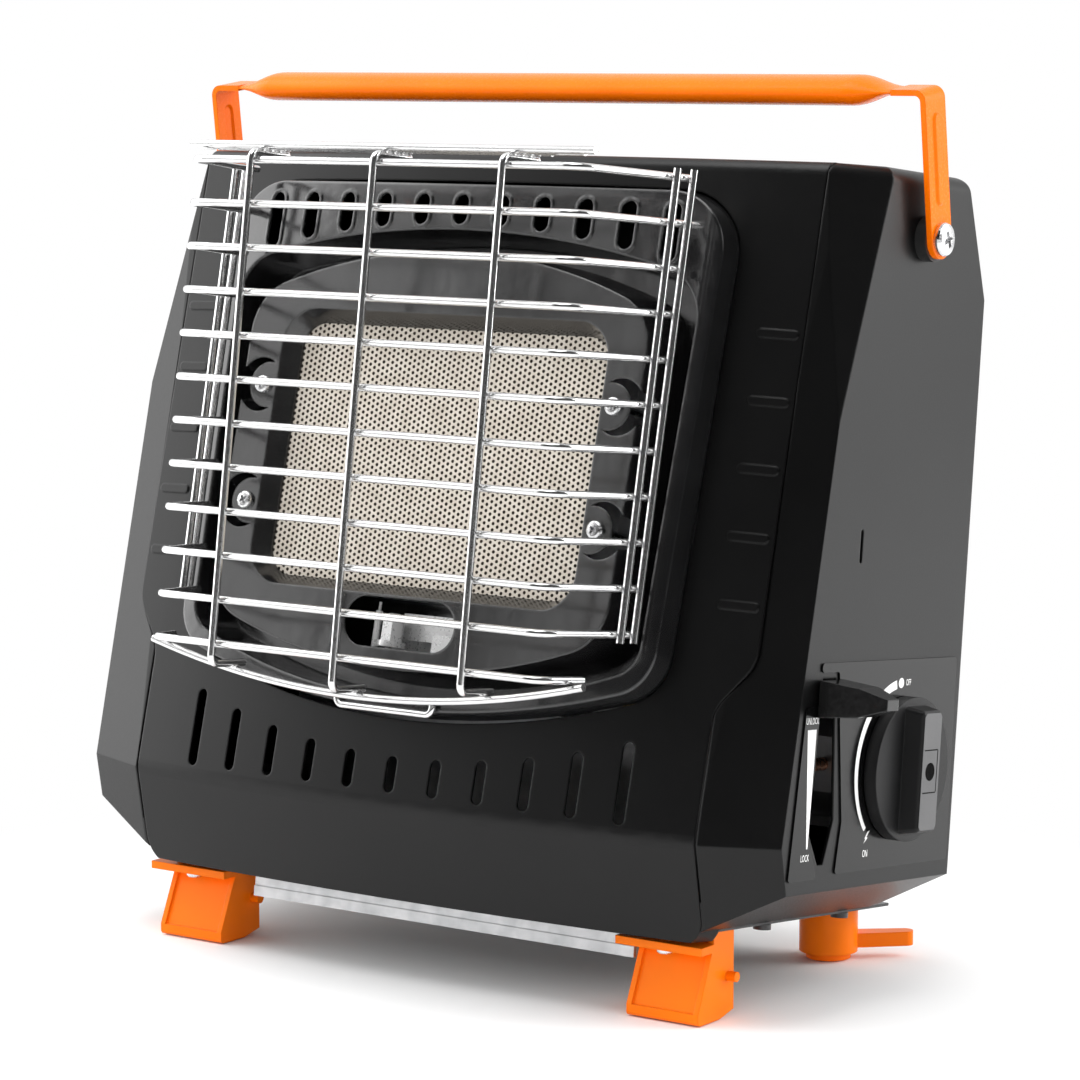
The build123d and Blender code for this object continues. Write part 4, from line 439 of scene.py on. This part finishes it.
class Tile:
    """The ceramic tile's mesh, as columns of cells that each hold one blind round hole."""

    def __init__(self):
        self.points, self.faces, self.dark, self.grid = [], [], [], {}
        self.low_x = -HOLE_COLUMNS * HOLE_PITCH_X / 2
        self.low_h = TILE_MIDDLE - (HOLE_ROWS + 0.5) * HOLE_PITCH_H / 2

    def add(self, x, height, depth):
        """A point at some depth under the tile's front; gives its number."""
        self.points.append(on_face(x, height, TILE_FRONT - depth))
        return len(self.points) - 1

    def corner(self, column, row):
        """A point of the grid of half cells."""
        if (column, row) not in self.grid:
            x = self.low_x + column * HOLE_PITCH_X / 2
            height = self.low_h + row * HOLE_PITCH_H / 2
            self.grid[column, row] = self.add(x, height, 0)
        return self.grid[column, row]

    def cell(self, column, row):
        """One cell: a flat ring round a hole whose walls and floor carry painted shade."""
        x = self.low_x + (column + 1) * HOLE_PITCH_X / 2
        height = self.low_h + (row + 1) * HOLE_PITCH_H / 2
        steps = [(0, 0), (1, 0), (2, 0), (2, 1), (2, 2), (1, 2), (0, 2), (0, 1)]
        outer = [self.corner(column + dx, row + dh) for dx, dh in steps]
        turns = [atan2(dh - 1, dx - 1) for dx, dh in steps]
        ring = [(x + HOLE_RADIUS * cos(turn), height + HOLE_RADIUS * sin(turn)) for turn in turns]
        mouth = [self.add(*spot, 0) for spot in ring]
        floor = [self.add(*spot, HOLE_DEPTH) for spot in ring]
        for k in range(len(steps)):
            n = (k + 1) % len(steps)
            self.faces.append((outer[k], outer[n], mouth[n], mouth[k]))
            # the hole's walls and floor take the painted shade
            self.dark.append(len(self.faces))
            self.faces.append((mouth[k], mouth[n], floor[n], floor[k]))
        self.dark.append(len(self.faces))
        self.faces.append(tuple(floor))

    def build(self):
        """All cells, with every other column half a cell higher, and the rim."""
        last_column, last_row = 2 * HOLE_COLUMNS, 2 * HOLE_ROWS + 1
        for column in range(HOLE_COLUMNS):
            odd = column % 2
            for row in range(HOLE_ROWS):
                self.cell(2 * column, 2 * row + odd)
            low = 0 if odd else last_row - 1
            start = 2 * column
            lower = [self.corner(start + k, low) for k in range(3)]
            upper = [self.corner(start + k, low + 1) for k in range(3)]
            self.faces.append((*lower, *reversed(upper)))
        self.rim(last_column, last_row)
        return self.points, self.faces

    def rim(self, last_column, last_row):
        """The plain border, the edges and the back."""
        low, high = TILE_MIDDLE - TILE_HALF_H, TILE_MIDDLE + TILE_HALF_H
        spots = [(-TILE_HALF_X, low), (TILE_HALF_X, low), (TILE_HALF_X, high), (-TILE_HALF_X, high)]
        front = [self.add(*spot, 0) for spot in spots]
        back = [self.add(*spot, TILE_THICK) for spot in spots]
        rows, columns = range(last_row + 1), range(last_column + 1)
        edges = [
            [self.corner(column, 0) for column in columns],
            [self.corner(last_column, row) for row in rows],
            [self.corner(column, last_row) for column in reversed(columns)],
            [self.corner(0, row) for row in reversed(rows)],
        ]
        for k, edge in enumerate(edges):
            n = (k + 1) % len(edges)
            self.faces.append((front[k], front[n], *reversed(edge)))
            self.faces.append((front[n], front[k], back[k], back[n]))
        self.faces.append(tuple(reversed(back)))


def add_tile():
    """The tile with its holes, in place of the plain plate."""
    tile = Tile()
    mesh = make_mesh("ceramic_tile", *tile.build())
    piece = add_piece("ceramic_tile", mesh, [MATERIALS["ceramic"], HOLE_PAINTED_SHADE], "casing")
    # faces inside the holes carry the painted shade
    for index in tile.dark:
        mesh.polygons[index].material_index = 1
    outward(mesh)
    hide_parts("ceramic_plate")


def turned(profile, turns):
    """Points and faces of a profile of radius and height, turned about z; it starts and ends on the axis."""
    points, faces, rings = [], [], []
    for radius, height in profile:
        count = 1 if radius == 0 else turns
        rings.append(list(range(len(points), len(points) + count)))
        ways = [2 * pi * k / count for k in range(count)]
        points += [(radius * cos(way), radius * sin(way), height) for way in ways]
    for low, high in zip(rings, rings[1:]):
        for k in range(turns):
            n = (k + 1) % turns
            face = [low[k % len(low)], low[n % len(low)], high[n % len(high)], high[k % len(high)]]
            faces.append(tuple(dict.fromkeys(face)))
    return points, faces


def prism_faces(start, count):
    """Faces of a prism whose lower outline starts at a point's number, with the upper one after it."""
    lower, upper = range(start, start + count), range(start + count, start + 2 * count)
    faces = [tuple(reversed(lower)), tuple(upper)]
    for k in range(count):
        n = (k + 1) % count
        faces.append((lower[k], lower[n], upper[n], upper[k]))
    return faces


def cross_cutter(half_long, half_wide, low, high):
    """Points and faces of a cross-shaped prism about z that narrows downwards."""
    points = []
    for z, share in ((low, CROSS_TAPER), (high, 1.0)):
        a, b = half_long * share, half_wide
        outline = [(a, -b), (a, b), (b, b), (b, a), (-b, a), (-b, b), (-a, b), (-a, -b), (-b, -b), (-b, -a),
                   (b, -a), (b, -b)]
        points += [(x, y, z) for x, y in outline]
    return points, prism_faces(0, len(outline))


def screw_mesh(name, head_radius, head_tall, shank_radius, shank_long):
    """One cross-head screw about z, its seat at zero and its head above."""
    profile = [(0, -shank_long), (shank_radius, -shank_long), (shank_radius, 0), (head_radius, 0)]
    profile += [(head_radius * wide, head_tall * tall) for wide, tall in HEAD_CROWN]
    profile.append((0, head_tall))
    body = bpy.data.objects.new(name, outward(make_mesh(name, *turned(profile, SCREW_STEPS))))
    across = (head_radius * CROSS_LONG, head_radius * CROSS_WIDE)
    cross = cross_cutter(*across, head_tall * CROSS_FLOOR, head_tall * CROSS_OPEN)
    cutter = bpy.data.objects.new("cutter", outward(make_mesh("cutter", *cross)))
    for piece in (body, cutter):
        bpy.context.scene.collection.objects.link(piece)
    cut = body.modifiers.new("cross", "BOOLEAN")
    cut.object = cutter
    cut.solver = "EXACT"
    mesh = final_mesh(body, name)
    bpy.data.objects.remove(cutter)
    return mesh


def placed(mesh, name, spots):
    """One mesh with a copy of another at each spot: a place in metres, the way out, and a turn about it."""
    shape = bmesh.new()
    for place, way, turn in spots:
        copy = mesh.copy()
        aim = Vector(way).to_track_quat("Z", "Y").to_matrix().to_4x4()
        turned_in = Matrix.Rotation(turn, 4, "Z") @ Matrix.Scale(MM, 4)
        copy.transform(Matrix.Translation(place) @ aim @ turned_in)
        shape.from_mesh(copy)
        bpy.data.meshes.remove(copy)
    joined = bpy.data.meshes.new(name)
    shape.to_mesh(joined)
    shape.free()
    return joined


def screw_piece(kind, sizes, spots):
    """A piece of like screws on the casing."""
    name = kind + "_cross_screws"
    mesh = placed(screw_mesh(kind + "_screw", *sizes), name, spots)
    return add_piece(name, mesh, [MATERIALS["bright_steel"]], "casing")


def add_screws():
    """Cross-head screws in place of the plain ones."""
    out = (on_face(0, 0, 1) - on_face(0, 0, 0)).normalized()
    spots = []
    for sx in (-1, 1):
        for sh in (-1, 1):
            height = TILE_MIDDLE + sh * BURNER_SCREW_RISE
            turn = BURNER_SCREW_TURN + sx + 2 * sh
            spots.append((on_face(sx * BURNER_SCREW_X, height, BURNER_CROWN), out, turn))
    piece = screw_piece("burner", BURNER_SCREW, spots)
    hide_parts("burner_screws")
    spots = [(at(side * PIVOT_HEAD_X, PIVOT.y, PIVOT.z), (side, 0, 0), PIVOT_SCREW_TURN) for side in (-1, 1)]
    piece = screw_piece("pivot", PIVOT_SCREW, spots)
    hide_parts("handle_screws")
    spots = [(level(x, FOOT_SCREW_Y, FOOT_FLANGE_LOW), (0, 0, -1), FOOT_SCREW_TURN) for x in FOOT_SCREW_XS]
    piece = screw_piece("foot", FOOT_SCREW, spots)
    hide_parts("foot_screws")


def side_prism(points, faces, outline, low, high):
    """Adds a flat outline of (y, z) points on the right side, between two distances out from it."""
    faces += prism_faces(len(points), len(outline))
    points += [on_side(y, z, low) for y, z in outline] + [on_side(y, z, high) for y, z in outline]


def arc_spots(radii):
    """Points of the knob's arc, its radius changing on the way; turns are from straight up to the front."""
    spots = []
    for k in range(ARC_STEPS + 1):
        way = ARC_START + (ARC_END - ARC_START) * k / ARC_STEPS
        radius = radii[0] + (radii[1] - radii[0]) * k / ARC_STEPS
        spots.append((KNOB_Y - radius * sin(way), KNOB_Z + radius * cos(way)))
    return spots


def round_spot(y, z, radius):
    """An outline of a round mark."""
    ways = [2 * pi * k / SPOT_STEPS for k in range(SPOT_STEPS)]
    return [(y + radius * cos(way), z + radius * sin(way)) for way in ways]


def word_mesh(word, y, z, tall):
    """A mesh of one word on the right side, raised by the print's thickness."""
    curve = bpy.data.curves.new(word, "FONT")
    curve.body = word
    curve.size = tall / CAPITAL_SHARE
    curve.extrude = PRINT / 2
    curve.resolution_u = LETTER_STEPS
    text = bpy.data.objects.new(word, curve)
    bpy.context.scene.collection.objects.link(text)
    mesh = final_mesh(text, word)
    for vertex in mesh.vertices:
        across, up, out = vertex.co
        vertex.co = on_side(y + across * WORD_NARROW, z + up, SKIN + PRINT / 2 + out)
    return mesh


def add_label():
    """White marks on the control and lock labels: generic words and signs only."""
    points, faces = [], []
    arc = arc_spots(ARC_OUTER) + arc_spots(ARC_INNER)[::-1]
    for outline in (arc, round_spot(*OFF_DOT, OFF_DOT_RADIUS), BOLT, WEDGE):
        side_prism(points, faces, outline, SKIN - PRINT / 2, SKIN + PRINT)
    shape = bmesh.new()
    shape.from_mesh(make_mesh("marks", points, faces))
    for word in WORDS:
        shape.from_mesh(word_mesh(*word))
    bmesh.ops.recalc_face_normals(shape, faces=shape.faces)
    mesh = bpy.data.meshes.new("label_marks")
    shape.to_mesh(mesh)
    shape.free()
    add_piece("label_marks", mesh, [PRINT_WHITE], "casing")


def from_knob(spots):
    """An outline given from the knob's middle."""
    return [(KNOB_Y + y, KNOB_Z + z) for y, z in spots]


def add_knob_face():
    """A painted sheen on the knob's bar: a grey slab over its black outer face, with a line round its middle and a
    dark dot.
    """
    wide, tall = BAR_HALF_Y, BAR_HALF_Z
    less_wide, less_tall = wide - BAR_CORNER, tall - BAR_CORNER
    outline = [(-wide, -less_tall), (-less_wide, -tall), (less_wide, -tall), (wide, -less_tall),
               (wide, less_tall), (less_wide, tall), (-less_wide, tall), (-wide, less_tall)]
    points, faces = [], []
    # the grey slab is painted sheen over the bar's black plastic face
    side_prism(points, faces, from_knob(outline), KNOB_FACE - PRINT, KNOB_FACE + PRINT)
    mesh = outward(make_mesh("knob_bar_painted_sheen", points, faces))
    add_piece("knob_bar_painted_sheen", mesh, [BAR_PAINTED_SHEEN], "knob")
    points, faces = [], []
    low, high = KNOB_FACE + PRINT / 2, KNOB_FACE + 2 * PRINT
    side_prism(points, faces, round_spot(KNOB_Y + BAR_DOT_Y, KNOB_Z, BAR_DOT_RADIUS), low, high)
    for y0, y1, z0, z1 in ((LINE_LEFT, LINE_RIGHT, LINE_HIGH, LINE_HIGH + LINE),
                           (LINE_LEFT, LINE_RIGHT, LINE_LOW - LINE, LINE_LOW),
                           (LINE_RIGHT, LINE_RIGHT + LINE, LINE_LOW, LINE_HIGH)):
        side_prism(points, faces, from_knob(((y0, z0), (y1, z0), (y1, z1), (y0, z1))), low, high)
    mesh = outward(make_mesh("knob_bar_marks", points, faces))
    add_piece("knob_bar_marks", mesh, [DOT_BLACK], "knob")


# Stage

def add_floor():
    """A pale floor that fades into the background."""
    shape = bmesh.new()
    bmesh.ops.create_circle(shape, cap_ends=True, segments=FLOOR_SEGMENTS, radius=FLOOR_RADIUS)
    mesh = bpy.data.meshes.new("floor")
    shape.to_mesh(mesh)
    shape.free()
    floor = bpy.data.objects.new("floor", mesh)
    floor.location.z = -FLOOR_DROP
    bpy.context.scene.collection.objects.link(floor)
    material, tree, shader, coords = new_material("pale_floor")
    shader.inputs["Base Color"].default_value = FLOOR_COLOUR
    shader.inputs["Roughness"].default_value = FLOOR_ROUGH
    shader.inputs["Specular IOR Level"].default_value = 0.0
    far = tree.nodes.new("ShaderNodeVectorMath")
    far.operation = "LENGTH"
    tree.links.new(coords, far.inputs[0])
    fade = tree.nodes.new("ShaderNodeMapRange")
    fade.interpolation_type = "SMOOTHSTEP"
    fade.inputs["From Min"].default_value = FADE_START
    fade.inputs["From Max"].default_value = FADE_END
    tree.links.new(far.outputs["Value"], fade.inputs["Value"])
    seen = tree.nodes.new("ShaderNodeMath")
    seen.operation = "MULTIPLY"
    tree.links.new(fade.outputs["Result"], seen.inputs[0])
    tree.links.new(tree.nodes.new("ShaderNodeLightPath").outputs["Is Camera Ray"], seen.inputs[1])
    glow = tree.nodes.new("ShaderNodeEmission")
    glow.inputs["Color"].default_value = WHITE
    mix = tree.nodes.new("ShaderNodeMixShader")
    tree.links.new(seen.outputs["Value"], mix.inputs[0])
    tree.links.new(shader.outputs[0], mix.inputs[1])
    tree.links.new(glow.outputs[0], mix.inputs[2])
    tree.links.new(mix.outputs[0], tree.nodes["Material Output"].inputs["Surface"])
    mesh.materials.append(material)


def add_softbox(name, azimuth, height, distance, width, tall, watts):
    """A soft lamp aimed at the middle of the heater; azimuth 0 is in front and 90 to the right."""
    lamp = bpy.data.lights.new(name, "AREA")
    lamp.shape = "RECTANGLE"
    lamp.size, lamp.size_y = width, tall
    lamp.energy = watts
    box = bpy.data.objects.new(name, lamp)
    turn = radians(azimuth)
    box.location = (distance * sin(turn), -distance * cos(turn), height)
    box.rotation_euler = (AIM - box.location).to_track_quat("-Z", "Y").to_euler()
    bpy.context.scene.collection.objects.link(box)


def add_world():
    """White where it is seen, white where it is mirrored apart from a dark room in front, softer as light."""
    world = bpy.data.worlds.new("studio")
    bpy.context.scene.world = world
    world.use_nodes = True
    tree = world.node_tree
    tree.nodes.clear()
    new, link = tree.nodes.new, tree.links.new

    def larger(first, second):
        """The larger of two values."""
        node = new("ShaderNodeMath")
        node.operation = "MAXIMUM"
        link(first, node.inputs[0])
        link(second, node.inputs[1])
        return node.outputs["Value"]

    path = new("ShaderNodeLightPath").outputs
    mirrored = larger(path["Is Glossy Ray"], path["Is Transmission Ray"])
    seen = larger(path["Is Camera Ray"], mirrored)
    toward = new("ShaderNodeVectorMath")
    toward.operation = "DOT_PRODUCT"
    link(new("ShaderNodeTexCoord").outputs["Generated"], toward.inputs[0])
    flat = cos(ROOM_RISE)
    toward.inputs[1].default_value = (sin(ROOM_AZIMUTH) * flat, -cos(ROOM_AZIMUTH) * flat, sin(ROOM_RISE))
    ramp = new("ShaderNodeMapRange")
    ramp.interpolation_type = "SMOOTHSTEP"
    for name, value in (("From Min", ROOM_EDGE), ("From Max", ROOM_END), ("To Min", 0.0), ("To Max", 1.0)):
        ramp.inputs[name].default_value = value
    link(toward.outputs["Value"], ramp.inputs["Value"])
    white = new("ShaderNodeBackground")
    link(larger(ramp.outputs["Result"], path["Is Camera Ray"]), white.inputs["Strength"])
    fill = new("ShaderNodeBackground")
    fill.inputs["Strength"].default_value = FILL_LIGHT
    for background in (white, fill):
        background.inputs["Color"].default_value = WHITE
    mix = new("ShaderNodeMixShader")
    link(seen, mix.inputs[0])
    link(fill.outputs[0], mix.inputs[1])
    link(white.outputs[0], mix.inputs[2])
    link(mix.outputs[0], new("ShaderNodeOutputWorld").inputs["Surface"])


def add_camera():
    """The photograph's camera."""
    camera = bpy.data.objects.new("camera", bpy.data.cameras.new("camera"))
    bpy.context.scene.collection.objects.link(camera)
    camera.data.sensor_width = SENSOR
    camera.data.lens = CAMERA_LENS
    flat = cos(CAMERA_PITCH)
    ahead = Vector((-sin(CAMERA_YAW) * flat, cos(CAMERA_YAW) * flat, -sin(CAMERA_PITCH)))
    right = Vector((cos(CAMERA_YAW), sin(CAMERA_YAW), 0))
    up = right.cross(ahead)
    turn = Matrix((right, up, -ahead)).transposed().to_4x4()
    camera.matrix_world = Matrix.Translation((CAMERA_SPOT + SHIFT) * MM) @ turn
    bpy.context.scene.camera = camera


dress_nodes()
add_tile()
add_screws()
add_label()
add_knob_face()
add_floor()
for lamp_values in LAMPS:
    add_softbox(*lamp_values)
add_world()
add_camera()
bpy.context.scene.view_settings.view_transform = "Standard"
